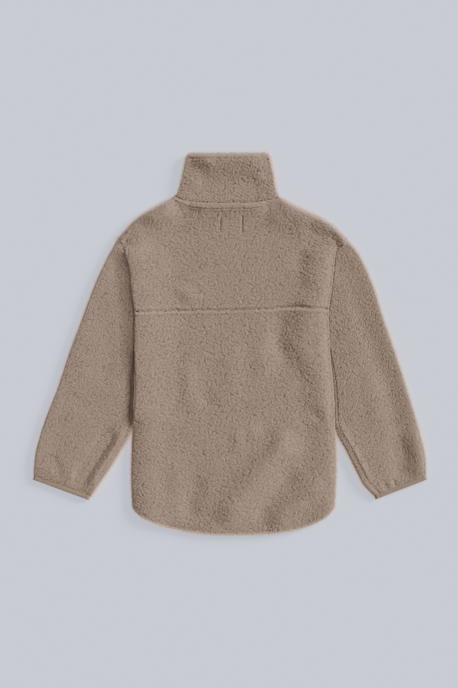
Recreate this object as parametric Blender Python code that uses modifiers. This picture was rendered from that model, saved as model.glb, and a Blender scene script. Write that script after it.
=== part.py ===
"""A taupe pile-fleece jacket laid flat on its front, with its back upwards.

The frame has +Z up, +Y towards the collar and +X to the right as seen from above, in metres. The
origin is on the surface that the jacket lies on, under the middle of its outline. The jacket's left
side is at -X, because its back is seen.

Each piece is cut and sewn as on the real jacket: a back of two panels, two fronts, a tube for each
sleeve with one underarm seam, a tall collar that goes round to the front edges, a tape on each cuff
and a zip between the fronts. The cloth is one wall thick everywhere. The fronts, the lower halves
of the sleeves and the front of the collar lie on the surface, and the rest lies on them.
"""

import bmesh
import bpy
import numpy as np

# The cloth and how it lies
WALL = 0.0050  # pile fleece, with its pile
SEAM_GAP = 0.0005  # between two pieces at a seam
TOP = 0.0136  # the height of the upper layer in the middle of a panel
SIDE_TOP = 0.0176  # and along the body's folded sides and shoulders
SWELL = 0.070  # how far in from a side the cloth is still raised
SEAM_DIP = 0.0022  # how far the cloth is drawn down at a seam
SEAM_WIDTH = 0.0080  # and how far from the seam
SEAM_LAND = 0.0015  # the last strip before an edge
STEEPEST = 1.5  # slope of a shoulder that its fold is drawn square to
SEAM_ROWS = (0.0, 0.0035, 0.0080)  # rows of points this far from a seam across a panel
HEM_DIP = 0.0030
FOLD_FOOT = SIDE_TOP / 2  # the height of the seam between back and front, on the body's folds
FOLD_RADIUS = FOLD_FOOT
FOLD_STEPS = 4  # faces round a quarter turn

# Lengths along the middle of the back
HEM_Y = -0.4215
HEM_RISE = 0.0480  # the hem's shirt-tail curve, from its lowest point to the sides
HEM_POWER = 2.4
HEM_LEAN = 0.0036  # how much lower the hem hangs on the right
HEM_CORNER = 0.0120  # the extra rise that rounds the hem's corners
HEM_CORNER_POWER = 24
HEM_CORNER_COLUMN = 0.05  # share of the width, for a row of points at the corner
FRONT_HEM_UP = 0.0080  # the front hem lies inside the back's
NECK_Y = 0.3100
NECK_RISE = 0.0150
NECK_POWER = 4
NECK_CORNERS = 4  # from the middle of the neck to its side
FRONT_NECK_DROP = 0.0600
COLLAR_TOP_Y = 0.4215
COLLAR_TOP_ROUND = 0.0100
COLLAR_TOP_POWER = 24
COLLAR_FRONT_DROP = 0.0400
COLLAR_HEIGHT = 0.0140
COLLAR_DIP = 0.0016
COLLAR_ROWS = (0.0, 0.03, 0.08, 0.3, 0.52, 0.74, 0.92, 0.97, 1.0)  # shares of its height
NECK_LEFT_X = -0.1235
NECK_RIGHT_X = 0.1080

# The body's edges: the armhole seams above y = 0 and the folded sides below it
BODY_EDGES = (  # y, x on the left, x on the right
    (-0.4100, -0.2113, 0.2228),
    (-0.3650, -0.2148, 0.2288),
    (-0.3000, -0.2178, 0.2336),
    (-0.1900, -0.2158, 0.2316),
    (-0.0900, -0.2147, 0.2263),
    (-0.0330, -0.2152, 0.2200),
    (0.0310, -0.2152, 0.2168),
    (0.0730, -0.2152, 0.2158),
    (0.1190, -0.2217, 0.2240),
    (0.1720, -0.2277, 0.2303),
    (0.2050, -0.2367, 0.2346),
    (0.2240, -0.2427, 0.2453),
    (0.2332, -0.2472, 0.2553),
)
UNDERARM_Y = -0.0200
HEM_SIDE_Y = -0.3650  # where the sides reach the hem
YOKE_SIDE_Y = 0.0750  # and the yoke seam
SHOULDER_Y = 0.2332  # and the shoulders

# The shoulders' outline, from the end of the armhole seam to the collar
SHOULDERS = (  # how far along, y, x on the left, x on the right
    (0.00, 0.2332, -0.2472, 0.2553),
    (0.25, 0.2580, -0.2247, 0.2308),
    (0.50, 0.2830, -0.1977, 0.1908),
    (0.75, 0.3040, -0.1627, 0.1453),
    (1.00, 0.3250, -0.1235, 0.1080),
)
YOKE_SEAM = (  # x, y
    (-0.2172, 0.0706),
    (-0.1022, 0.0730),
    (0.0478, 0.0755),
    (0.1428, 0.0795),
    (0.2178, 0.0765),
)
CENTRE_FRONT = (  # y, x
    (-0.4215, 0.0060),
    (0.0500, 0.0060),
    (0.2332, -0.0070),
)
COLLAR_SIDES = (  # y, x on the left, x on the right
    (0.3250, -0.1235, 0.1080),
    (0.3330, -0.1162, 0.1036),
    (0.3421, -0.1129, 0.1010),
    (0.3685, -0.1060, 0.0964),
    (0.3949, -0.1005, 0.0906),
    (0.4215, -0.0945, 0.0861),
)

# Each sleeve's sections, from the armhole to where its cuff tape starts. A section runs from the
# outer fold to the inner one, and its height is that of each fold.
SLEEVES = {
    "left": (  # how far along, outer x, y, inner x, y, outer height, inner height
        (0.00, -0.2477, 0.2332, -0.2161, -0.0200, 0.0176, 0.0136),
        (0.10, -0.2719, 0.1880, -0.2163, -0.0500, 0.0170, 0.0122),
        (0.22, -0.2959, 0.1364, -0.2162, -0.0860, 0.0165, 0.0118),
        (0.40, -0.3258, 0.0572, -0.2166, -0.1350, 0.0160, 0.0118),
        (0.58, -0.3553, -0.0220, -0.2178, -0.1900, 0.0160, 0.0122),
        (0.75, -0.3817, -0.1012, -0.2412, -0.2360, 0.0155, 0.0140),
        (0.90, -0.4182, -0.2000, -0.2720, -0.2860, 0.0150, 0.0145),
        (0.95, -0.4293, -0.2430, -0.2890, -0.3110, 0.0150, 0.0145),
        (1.00, -0.4332, -0.2882, -0.3052, -0.3352, 0.0142, 0.0142),
    ),
    "right": (
        (0.00, 0.2558, 0.2332, 0.2206, -0.0200, 0.0176, 0.0136),
        (0.10, 0.2828, 0.2000, 0.2232, -0.0500, 0.0170, 0.0132),
        (0.22, 0.3103, 0.1420, 0.2270, -0.0860, 0.0165, 0.0130),
        (0.40, 0.3366, 0.0600, 0.2304, -0.1350, 0.0160, 0.0130),
        (0.58, 0.3649, -0.0200, 0.2330, -0.1900, 0.0160, 0.0130),
        (0.75, 0.3907, -0.1012, 0.2553, -0.2360, 0.0155, 0.0140),
        (0.90, 0.4198, -0.2000, 0.2803, -0.2860, 0.0150, 0.0145),
        (0.95, 0.4300, -0.2430, 0.2930, -0.3100, 0.0150, 0.0145),
        (1.00, 0.4330, -0.2882, 0.3150, -0.3335, 0.0142, 0.0142),
    ),
}
SLEEVE_ROWS = (0, 0.006, 0.0145, 0.05, 0.11, 0.18, 0.27, 0.36, 0.46, 0.56, 0.66, 0.76, 0.85, 0.92,
               0.965, 0.985, 1)  # shares of its length
SLEEVE_TOP_SHARES = (0.80, 0.66, 0.52, 0.38, 0.24, 0.12)  # across it, from the seam to the outer fold
SLEEVE_BOTTOM_SHARES = (0.25, 0.50, 0.75)
ARMHOLE_GAP = 0.0010
ARMHOLE_EASE = 0.35  # the share of a sleeve over which its sections straighten
ARMHOLE_DIP_SHARE = 0.0145  # and over which the armhole seam draws it down
CUFF_DIP_SHARE = 0.035  # and the cuff's tape
CUFF_DIP = 0.0022
SLEEVE_SWELL = 0.040  # how far in from a fold a sleeve's own height is reached
UNDERARM_SEAM_IN = 0.0130  # the sleeve's seam lies this far in from its inner fold
CUFF_TAPE = 0.0105
CUFF_TAPE_WALL = 0.0026
CUFF_TAPE_HEIGHT = 0.0112
CUFF_TAPE_ROWS = (0.0, 0.2, 0.8, 1.0)
CUFF_TAPE_SHARES = (0.3, 0.5, 0.7)

# The largest folds of the upper layer, each a soft ridge or, below nought, a trough
FOLDS = (  # the places (x, y) it runs through, height, half width
    # the ridges and troughs that fan out from the hem
    (((0.150, -0.150), (0.118, -0.205), (0.052, -0.292), (-0.022, -0.392)), 0.0040, 0.022),
    (((0.186, -0.200), (0.104, -0.312), (0.040, -0.400)), -0.0022, 0.019),
    (((0.178, -0.322), (0.140, -0.355), (0.082, -0.410)), 0.0034, 0.019),
    (((-0.060, -0.290), (-0.085, -0.335), (-0.092, -0.395)), -0.0018, 0.020),
    # below the yoke seam, on the right
    (((0.172, 0.078), (0.160, 0.020), (0.172, -0.060), (0.186, -0.110)), 0.0034, 0.026),
    (((0.122, 0.070), (0.110, 0.010), (0.128, -0.060)), -0.0018, 0.018),
    # across the yoke
    (((-0.150, 0.266), (-0.095, 0.276)), -0.0016, 0.015),
    (((0.090, 0.276), (0.150, 0.246)), -0.0018, 0.016),
    # down the back
    (((-0.092, -0.040), (-0.090, -0.150)), 0.0014, 0.020),
    # the sleeves
    (((-0.252, -0.186), (-0.296, -0.256), (-0.334, -0.306)), -0.0018, 0.010),
    (((0.250, 0.170), (0.292, 0.040), (0.340, -0.079), (0.374, -0.211), (0.380, -0.286)), -0.0022, 0.018),
)

# The zip between the fronts, closed, seen only from below
ZIP_OPENING = 0.0110
ZIP_ACROSS = (  # x from its middle, and the height of its outer face
    (-0.0049, 0.0030),
    (-0.0026, 0.0030),
    (-0.0024, 0.0022),
    (0.0024, 0.0022),
    (0.0026, 0.0030),
    (0.0049, 0.0030),
)
ZIP_WALL = 0.0014
ZIP_FOOT_UP = 0.0120  # its lower end is this far above the front hem
ZIP_ROWS = 20
SLIDER_SIZE = (0.0085, 0.0110, 0.0042)
SLIDER_FLOOR = 0.0004
SLIDER_ROUND = 0.0010
PULL_SIZE = (0.0060, 0.0260, 0.0013)
PULL_ROUND = 0.0004

MATERIALS = {  # colour, roughness, metallic
    "pile_fleece": ((0.296, 0.231, 0.185), 0.95, 0.0),
    "cuff_tape": ((0.330, 0.265, 0.215), 0.80, 0.0),
    "zip_tape": ((0.190, 0.150, 0.120), 0.75, 0.0),
    "zip_metal": ((0.230, 0.200, 0.175), 0.40, 0.9),
}


def curve(rows, column, at):
    """One column of a table at places in its first column, on a smooth curve through its rows."""
    places = np.array([row[0] for row in rows])
    values = np.array([row[column] for row in rows])
    steps = np.diff(places)
    slopes = np.diff(values) / steps
    tangents = np.empty(len(values))
    tangents[1:-1] = (slopes[:-1] * steps[1:] + slopes[1:] * steps[:-1]) / (steps[:-1] + steps[1:])
    tangents[0], tangents[-1] = slopes[0], slopes[-1]
    at = np.clip(at, places[0], places[-1])
    i = np.clip(np.searchsorted(places, at, side="right") - 1, 0, len(steps) - 1)
    h = steps[i]
    t = (at - places[i]) / h
    return (
        values[i] * (1 + 2 * t) * (1 - t) ** 2
        + tangents[i] * h * t * (1 - t) ** 2
        + values[i + 1] * t**2 * (3 - 2 * t)
        + tangents[i + 1] * h * t**2 * (t - 1)
    )


def ease(value, start, end):
    """0 before start, 1 past end, and smooth between."""
    t = np.clip((value - start) / (end - start), 0, 1)
    return t * t * (3 - 2 * t)


def fold_height(x, y):
    """How far the folds raise or sink the upper layer at a place."""
    height = np.zeros(np.broadcast(x, y).shape)
    for path, rise, half_width in FOLDS:
        nearest = np.full(height.shape, np.inf)
        for (x0, y0), (x1, y1) in zip(path, path[1:]):
            dx, dy = x1 - x0, y1 - y0
            along = np.clip(((x - x0) * dx + (y - y0) * dy) / (dx * dx + dy * dy), 0, 1)
            nearest = np.minimum(nearest, np.hypot(x - x0 - along * dx, y - y0 - along * dy))
        height += rise * np.exp(-((nearest / half_width) ** 2))
    return height


def left_edge(y):
    return curve(BODY_EDGES, 1, y)


def right_edge(y):
    return curve(BODY_EDGES, 2, y)


def hem(x):
    """The back hem's y at a place across the body."""
    left, right = left_edge(HEM_SIDE_Y), right_edge(HEM_SIDE_Y)
    side = np.clip((2 * x - left - right) / (right - left), -1, 1)
    across = np.abs(side)
    lean = HEM_LEAN * np.sin(np.pi * np.clip(side, 0, 1) ** 2)
    return HEM_Y + HEM_RISE * across**HEM_POWER + HEM_CORNER * across**HEM_CORNER_POWER - lean


def across_neck(x):
    """How far a place is from the middle of the neck, as a share of half the neck's width."""
    return np.clip(np.abs(2 * x - NECK_LEFT_X - NECK_RIGHT_X) / (NECK_RIGHT_X - NECK_LEFT_X), 0, 1)


def neckline(x, drop=0.0):
    """The neck seam's y at a place across the neck, lower in the middle by the drop.

    It is straight between its corners, which are points of every piece that is sewn along it.
    """
    corners = np.linspace(0, 1, NECK_CORNERS)
    y = NECK_Y + NECK_RISE * corners**NECK_POWER - drop * (1 - corners**2)
    return np.interp(across_neck(x), corners, y)


def collar_top(x, drop=0.0):
    """The y of the collar's top edge at a place across it, lower in the middle by the drop."""
    across = across_neck(x)
    return COLLAR_TOP_Y - COLLAR_TOP_ROUND * across**COLLAR_TOP_POWER - drop * (1 - across**2)


def body_top(x, neck_drop=0.0):
    """The y of the body's upper outline: a shoulder, the neckline and the other shoulder."""
    left = curve([(row[2], row[1]) for row in SHOULDERS], 1, x)
    right = curve([(row[3], row[1]) for row in reversed(SHOULDERS)], 1, x)
    neck = neckline(x, neck_drop)
    return np.where(x < NECK_LEFT_X, left, np.where(x > NECK_RIGHT_X, right, neck))


def panel_height(x, y):
    """The upper layer's height on the body, away from its edges."""
    in_from_side = np.minimum(x - left_edge(y), right_edge(y) - x)
    swell = 1 - ease(in_from_side, FOLD_RADIUS, SWELL)
    return TOP + (SIDE_TOP - TOP) * swell + fold_height(x, y)


def edge_strip(fold, dip, inset):
    """The points from an edge inwards: how far in each is, and what is left of the height there.

    fold is 1 where the cloth folds round the edge and 0 where it is sewn to its neighbour, and it
    may be an array. The second answer is what the fold leaves of the height, nothing at its seam,
    and the third is what the stitches leave of it. inset is 0 for the cloth's outer face, and its
    thickness for the inner one.
    """
    turn = np.linspace(0, np.pi / 2, FOLD_STEPS + 1)
    land = SEAM_LAND / FOLD_FOOT
    fold_in = [inset, *(inset + (FOLD_RADIUS - inset) * (1 - np.cos(turn)))]
    fold_left = [0, *(land + (1 - land) * np.sin(turn))]
    seam_in = [0, *np.linspace(SEAM_LAND, SEAM_WIDTH, FOLD_STEPS + 1)]
    seam_left = [1 - dip / FOLD_FOOT * (1 - near / SEAM_WIDTH) ** 2 for near in seam_in]
    inwards = [fold * a + (1 - fold) * b for a, b in zip(fold_in, seam_in)]
    folded = [fold * a + (1 - fold) for a in fold_left]
    sewn = [fold + (1 - fold) * b for b in seam_left]
    return inwards, folded, sewn


def body_points(panel, upper, inset):
    """One face of a panel of the body, as rows and columns of points."""
    dip = SEAM_DIP if upper else 0.0
    steps = FOLD_STEPS + 2
    first = steps if panel["left_fold"] else 0
    last = steps if panel["right_fold"] else 0
    share = np.array([0.0] * first + list(panel["columns"]) + [1.0] * last)
    left_x, right_x = panel["left"], panel["right"]

    def across(y):
        return left_x(y) + share * (right_x(y) - left_x(y))

    low_x = across(YOKE_SIDE_Y if panel["low"] is yoke_seam else HEM_SIDE_Y)
    high_x = across(YOKE_SIDE_Y if panel["high"] is yoke_seam else SHOULDER_Y)
    low_y = panel["low"](low_x) + SEAM_GAP / 2
    high_y = panel["high"](high_x) - SEAM_GAP / 2
    fold = shoulder_fold(high_x) if panel["high"] is not yoke_seam else 0 * high_x
    slope = (panel["high"](high_x + SEAM_GAP) - panel["high"](high_x - SEAM_GAP)) / (2 * SEAM_GAP)
    lean = 1 + fold * (np.hypot(1, np.clip(slope, -STEEPEST, STEEPEST)) - 1)
    end_in, end_folded, end_sewn = edge_strip(fold, dip, inset)
    low_dip = HEM_DIP if upper and panel["low"] is hem else dip
    start, stop = low_y + SEAM_ROWS[-1], high_y - lean * end_in[-1]
    rows = []
    for near in SEAM_ROWS:
        rows.append((low_y + near, 1.0, 1 - low_dip / FOLD_FOOT * (1 - near / SEAM_WIDTH) ** 2))
    for step in np.linspace(0, 1, panel["rows"] + 2)[1:-1]:
        rows.append((start + step * (stop - start), 1.0, 1.0))
    for k in reversed(range(steps)):
        rows.append((high_y - lean * end_in[k], end_folded[k], end_sewn[k]))
    y = np.array([row[0] for row in rows])
    folded = np.array([share * 0 + row[1] for row in rows])
    sewn = np.array([share * 0 + row[2] for row in rows])
    x = left_x(y) + share * (right_x(y) - left_x(y))
    if first:
        inwards, side_folded, side_sewn = edge_strip(side_fold(y[:, 0]), dip, inset)
        for k in range(steps):
            x[:, k] += inwards[k]
            folded[:, k] *= side_folded[k]
            sewn[:, k] *= side_sewn[k]
    if last:
        inwards, side_folded, side_sewn = edge_strip(side_fold(y[:, -1]), dip, inset)
        for k in range(steps):
            x[:, -1 - k] -= inwards[k]
            folded[:, -1 - k] *= side_folded[k]
            sewn[:, -1 - k] *= side_sewn[k]
    if upper:
        z = FOLD_FOOT + ((panel_height(x, y) - FOLD_FOOT) * sewn - inset) * folded
    else:
        z = (FOLD_FOOT - SEAM_GAP) * (1 - folded) + inset * folded
    return np.stack([x, y, z], axis=-1)


def yoke_seam(x):
    return curve(YOKE_SEAM, 1, x)


def side_fold(y):
    """1 along the body's folded sides, and 0 up the armhole seams."""
    return np.where(y < UNDERARM_Y, 1.0, 0.0)


def shoulder_fold(x):
    """1 along the shoulders, and 0 along the neckline between them."""
    return np.where((x < NECK_LEFT_X - SEAM_LAND) | (x > NECK_RIGHT_X + SEAM_LAND), 1.0, 0.0)


def add_face(bm, points, outwards):
    """A grid of points in a mesh, and its vertices as rows and columns."""
    rows, columns = points.shape[:2]
    made = bmesh.ops.create_grid(bm, x_segments=columns - 1, y_segments=rows - 1, size=1.0)["verts"]
    grid = np.empty((rows, columns), object)
    for vertex in made:
        row = round((vertex.co.y + 1) / 2 * (rows - 1))
        column = round((vertex.co.x + 1) / 2 * (columns - 1))
        grid[row, column] = vertex
        vertex.co = points[row, column]
    if not outwards:
        bmesh.ops.reverse_faces(bm, faces=list({face for vertex in made for face in vertex.link_faces}))
    return grid


def add_piece(name, outer, inner, material, outer_up=True):
    """An object of cloth between the points of its outer face and those of its inner one.

    Both have rows away and columns to the right. The edges between them are cut square.
    """
    bm = bmesh.new()
    faces = [add_face(bm, outer, outer_up), add_face(bm, inner, not outer_up)]
    rims = [np.concatenate([g[0, :-1], g[:-1, -1], g[-1, :0:-1], g[:0:-1, 0]]) for g in faces]
    for k in range(len(rims[0])):
        bm.faces.new((rims[0][k - 1], rims[1][k - 1], rims[1][k], rims[0][k]))
    bmesh.ops.recalc_face_normals(bm, faces=bm.faces)
    mesh = bpy.data.meshes.new(name)
    bm.to_mesh(mesh)
    bm.free()
    mesh.shade_smooth()
    mesh.set_sharp_from_angle(angle=np.radians(50))
    mesh.materials.append(bpy.data.materials[material])
    piece = bpy.data.objects.new(name, mesh)
    bpy.data.collections["fleece_jacket"].objects.link(piece)


def add_panel(name, panel, upper):
    """A panel of the body, from its outer and inner faces."""
    outer, inner = (body_points(panel, upper, inset) for inset in (0.0, WALL))
    add_piece(name, outer, inner, "pile_fleece", outer_up=upper)


def shares(place, left, right):
    """How far across from left to right a place is."""
    return (place - left) / (right - left)


def add_backs():
    """The yoke and the panel below it, from fold to fold."""
    sides = {"left": left_edge, "right": right_edge, "left_fold": True, "right_fold": True}
    columns = [HEM_CORNER_COLUMN, *np.linspace(0, 1, 9)[1:-1], 1 - HEM_CORNER_COLUMN]
    add_panel("back_lower", {**sides, "low": hem, "high": yoke_seam, "columns": columns, "rows": 12}, True)
    ends = left_edge(SHOULDER_Y), right_edge(SHOULDER_Y)
    from_left, to_right = shares(NECK_LEFT_X, *ends), shares(NECK_RIGHT_X, *ends)
    columns = [from_left * 0.33, from_left * 0.66, from_left * 0.93]
    columns += list(np.linspace(from_left, to_right, 7))
    columns += [1 - (1 - to_right) * share for share in (0.93, 0.66, 0.33)]
    add_panel("back_yoke", {**sides, "low": yoke_seam, "high": body_top, "columns": columns, "rows": 9}, True)


def add_fronts():
    """The two fronts, on the surface, from each side fold to the zip."""

    def front_hem(x):
        return hem(x) + FRONT_HEM_UP

    def front_top(x):
        return body_top(x, FRONT_NECK_DROP)

    def left_of_zip(y):
        return curve(CENTRE_FRONT, 1, y) - ZIP_OPENING / 2

    def right_of_zip(y):
        return curve(CENTRE_FRONT, 1, y) + ZIP_OPENING / 2

    ends = {"low": front_hem, "high": front_top, "rows": 14}
    necks = np.linspace(NECK_LEFT_X, NECK_RIGHT_X, 2 * NECK_CORNERS - 1)
    edge, zip_edge = left_edge(SHOULDER_Y), left_of_zip(SHOULDER_Y)
    corners = [shares(x, edge, zip_edge) for x in necks[: NECK_CORNERS - 1]]
    columns = [corners[0] * 0.5, corners[0] * 0.93, *corners, 1.0]
    left = {**ends, "left": left_edge, "right": left_of_zip, "left_fold": True, "right_fold": False}
    add_panel("front_left", {**left, "columns": columns}, False)
    zip_edge, edge = right_of_zip(SHOULDER_Y), right_edge(SHOULDER_Y)
    corners = [shares(x, zip_edge, edge) for x in necks[NECK_CORNERS:]]
    columns = [0.0, *corners, 1 - (1 - corners[-1]) * 0.93, 1 - (1 - corners[-1]) * 0.5]
    right = {**ends, "left": right_of_zip, "right": right_edge, "left_fold": False, "right_fold": True}
    add_panel("front_right", {**right, "columns": columns}, False)


def add_collar():
    """The tall collar: from one front edge, round under, over the back and round to the other."""
    half_turn = np.linspace(-np.pi / 2, np.pi / 2, 2 * FOLD_STEPS + 1)
    necks = np.linspace(0, 1, 2 * NECK_CORNERS - 1)  # places across it, from left to right
    columns = [("zip", 1.0)] + [("front", n) for n in necks[NECK_CORNERS:-1]]
    columns += [("right", angle) for angle in half_turn]
    columns += [("back", n) for n in necks[-2:0:-1]]
    columns += [("left", angle) for angle in half_turn[::-1]]
    columns += [("front", n) for n in necks[1 : NECK_CORNERS - 1]] + [("zip", -1.0)]
    faces = [[], []]
    for share in COLLAR_ROWS:
        side_y = COLLAR_SIDES[0][0] + share * (COLLAR_TOP_Y - COLLAR_TOP_ROUND - COLLAR_SIDES[0][0])
        left, right = curve(COLLAR_SIDES, 1, side_y), curve(COLLAR_SIDES, 2, side_y)
        near_edge = min(share, 1 - share) / COLLAR_ROWS[2]
        height = COLLAR_HEIGHT - COLLAR_DIP * (1 - np.clip(near_edge, 0, 1)) ** 2
        radius = height / 2
        for points, inset in zip(faces, (0.0, WALL)):
            row = []
            for kind, place in columns:
                reach = radius - inset
                z = height - inset if kind == "back" else inset
                front = 0.0 if kind == "back" else 1.0
                if kind == "zip":
                    x = curve(CENTRE_FRONT, 1, side_y) + place * ZIP_OPENING / 2
                elif kind in ("left", "right"):
                    x = left + radius - reach * np.cos(place)
                    x = x if kind == "left" else left + right - x
                    z = radius + reach * np.sin(place)
                    front = np.clip(-np.sin(place), 0, 1)
                else:
                    x = left + place * (right - left)
                at_neck = NECK_LEFT_X + (x - left) / (right - left) * (NECK_RIGHT_X - NECK_LEFT_X)
                base = neckline(at_neck, front * FRONT_NECK_DROP) + SEAM_GAP / 2
                top = collar_top(at_neck, front * COLLAR_FRONT_DROP)
                row.append((x, base + share * (top - base), z))
            points.append(row)
    add_piece("collar", np.array(faces[0]), np.array(faces[1]), "pile_fleece")


def sleeve_place(side, along, share):
    """x and y of a sleeve's point, along it and across from its outer fold to its inner one.

    The first section follows the armhole seam, and the sections straighten away from it.
    """
    rows = SLEEVES[side]
    outer_x, outer_y, inner_x, inner_y = (curve(rows, column, along) for column in range(1, 5))
    _, start_x, start_y, end_x, end_y, *_ = rows[0]
    seam_y = start_y + share * (end_y - start_y)
    seam_x = left_edge(seam_y) - ARMHOLE_GAP if side == "left" else right_edge(seam_y) + ARMHOLE_GAP
    bulge = seam_x - (start_x + share * (end_x - start_x))
    fade = np.clip(1 - along / ARMHOLE_EASE, 0, 1) ** 2
    return outer_x + share * (inner_x - outer_x) + bulge * fade, outer_y + share * (inner_y - outer_y)


def sleeve_columns():
    """The places round a sleeve, from one side of its underarm seam over the top to the other."""
    half_turn = np.linspace(np.pi / 2, -np.pi / 2, 2 * FOLD_STEPS + 1)
    columns = [("seam", UNDERARM_SEAM_IN + SEAM_GAP / 2 + near) for near in SEAM_ROWS]
    columns += [("top", share) for share in SLEEVE_TOP_SHARES]
    columns += [("outer", angle) for angle in half_turn]
    columns += [("bottom", share) for share in SLEEVE_BOTTOM_SHARES]
    columns += [("inner", angle) for angle in half_turn[::-1]]
    return columns + [("seam", UNDERARM_SEAM_IN - SEAM_GAP / 2)]


def sleeve_point(side, along, kind, place, inset):
    """One point of a sleeve's outer face, or of its inner one, which the inset gives."""
    rows = SLEEVES[side]
    ends = [curve(rows, column, along) for column in range(1, 5)]
    length = np.hypot(ends[2] - ends[0], ends[3] - ends[1])
    dip = SEAM_DIP * np.clip(1 - along / ARMHOLE_DIP_SHARE, 0, 1) ** 2
    dip += CUFF_DIP * np.clip(1 - (1 - along) / CUFF_DIP_SHARE, 0, 1) ** 2
    outer_height, inner_height = curve(rows, 5, along) - dip, curve(rows, 6, along) - dip
    if kind in ("outer", "inner"):
        radius = (outer_height if kind == "outer" else inner_height) / 2
        share = (radius - (radius - inset) * np.cos(place)) / length
        share = share if kind == "outer" else 1 - share
        x, y = sleeve_place(side, along, share)
        return x, y, radius + (radius - inset) * np.sin(place)
    share = 1 - place / length if kind == "seam" else place
    x, y = sleeve_place(side, along, share)
    if kind == "bottom":
        return x, y, inset
    from_outer, from_inner = share * length, (1 - share) * length
    near_outer = 1 - ease(from_outer, outer_height / 2, SLEEVE_SWELL)
    near_inner = 1 - ease(from_inner, inner_height / 2, SLEEVE_SWELL)
    z = TOP - dip + (outer_height - TOP + dip) * near_outer + (inner_height - TOP + dip) * near_inner
    calm = ease(min(from_outer, from_inner), outer_height / 2, SLEEVE_SWELL / 2)
    to_seam = abs(from_inner - UNDERARM_SEAM_IN) / SEAM_WIDTH
    z -= SEAM_DIP / 2 * np.clip(1 - to_seam, 0, 1) ** 2
    return x, y, z + fold_height(x, y) * calm - inset


def add_sleeve(side):
    """A sleeve: one panel round the arm, sewn to itself along the underarm."""
    places = sleeve_columns()
    outer, inner = (
        np.array([[sleeve_point(side, along, *place, inset) for place in places] for along in SLEEVE_ROWS])
        for inset in (0.0, WALL)
    )
    add_piece("sleeve_" + side, outer, inner, "pile_fleece")


def add_cuff_tape(side):
    """The tape round a cuff's edge, which carries on from the sleeve's end."""
    outer_x, outer_y, inner_x, inner_y = SLEEVES[side][-1][1:5]
    length = np.hypot(inner_x - outer_x, inner_y - outer_y)
    across = np.array([inner_x - outer_x, inner_y - outer_y]) / length
    down = np.array([across[1], -across[0]]) * (1 if across[0] > 0 else -1)
    half_turn = np.linspace(np.pi / 2, -np.pi / 2, 2 * FOLD_STEPS + 1)
    radius = CUFF_TAPE_HEIGHT / 2
    faces = [[], []]
    for share in CUFF_TAPE_ROWS:
        start = np.array([outer_x, outer_y]) + down * (SEAM_GAP + share * CUFF_TAPE)
        for points, inset in zip(faces, (0.0, CUFF_TAPE_WALL)):
            reach = radius - inset
            places = [(length - UNDERARM_SEAM_IN - SEAM_GAP / 2, 2 * radius - inset)]
            places += [(length * part, 2 * radius - inset) for part in reversed(CUFF_TAPE_SHARES)]
            turn = [(radius - reach * np.cos(a), radius + reach * np.sin(a)) for a in half_turn]
            places += turn
            places += [(length * part, inset) for part in CUFF_TAPE_SHARES]
            places += [(length - far, z) for far, z in reversed(turn)]
            places += [(length - UNDERARM_SEAM_IN + SEAM_GAP / 2, 2 * radius - inset)]
            points.append([(*(start + across * far), z) for far, z in places])
    add_piece("cuff_tape_" + side, np.array(faces[0]), np.array(faces[1]), "cuff_tape")


def add_zip():
    """The closed zip: its tapes and teeth in one strip, its slider and the slider's cloth pull."""
    foot = hem(curve(CENTRE_FRONT, 1, HEM_Y)) + FRONT_HEM_UP + ZIP_FOOT_UP
    middle = float(curve(CENTRE_FRONT, 1, COLLAR_TOP_Y))
    top = float(collar_top(middle, COLLAR_FRONT_DROP)) - SLIDER_SIZE[1] - SEAM_GAP
    outer, inner = [], []
    for y in np.linspace(foot, top - SEAM_GAP, ZIP_ROWS):
        x = curve(CENTRE_FRONT, 1, y)
        outer.append([(x + off, y, z) for off, z in ZIP_ACROSS])
        inner.append([(x + off, y, z + ZIP_WALL) for off, z in ZIP_ACROSS])
    add_piece("zip", np.array(outer, float), np.array(inner, float), "zip_tape", outer_up=False)
    slider_y = top + SLIDER_SIZE[1] / 2
    add_block("zip_slider", SLIDER_SIZE, (middle, slider_y), SLIDER_ROUND, "zip_metal")
    pull_y = top - SEAM_GAP - PULL_SIZE[1] / 2
    add_block("zip_pull", PULL_SIZE, (middle, pull_y), PULL_ROUND, "zip_tape")


def add_block(name, size, place, rounding, material):
    """A small block with rounded edges, just above the surface."""
    bm = bmesh.new()
    bmesh.ops.create_cube(bm, size=1.0)
    bmesh.ops.scale(bm, verts=bm.verts, vec=size)
    bmesh.ops.translate(bm, verts=bm.verts, vec=(*place, SLIDER_FLOOR + size[2] / 2))
    mesh = bpy.data.meshes.new(name)
    bm.to_mesh(mesh)
    bm.free()
    mesh.materials.append(bpy.data.materials[material])
    block = bpy.data.objects.new(name, mesh)
    bpy.data.collections["fleece_jacket"].objects.link(block)
    bevel = block.modifiers.new("rounding", "BEVEL")
    bevel.width = rounding
    bevel.segments = 2


def build():
    """Makes every piece."""
    for old in list(bpy.data.objects):
        bpy.data.objects.remove(old, do_unlink=True)
    collection = bpy.data.collections.new("fleece_jacket")
    bpy.context.scene.collection.children.link(collection)
    for name, (colour, roughness, metallic) in MATERIALS.items():
        material = bpy.data.materials.new(name)
        material.use_nodes = True
        shader = material.node_tree.nodes["Principled BSDF"]
        shader.inputs["Base Color"].default_value = (*colour, 1.0)
        shader.inputs["Roughness"].default_value = roughness
        shader.inputs["Metallic"].default_value = metallic
    add_backs()
    add_fronts()
    add_collar()
    for side in SLEEVES:
        add_sleeve(side)
        add_cuff_tape(side)
    add_zip()


build()
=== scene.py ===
"""The looks of a taupe pile-fleece jacket that lies flat on its front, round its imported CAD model.

The frame is the CAD's: +Z up, +Y towards the collar, +X to the right as seen from above, in
metres, with the origin on the surface under the middle of the outline. Each piece of cloth is a
closed shell whose outer face carries the pile's tufts and whose inner face is plain. The forms
repeat the driving sizes of the solids that they stand for, with finer creases.
"""

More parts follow.
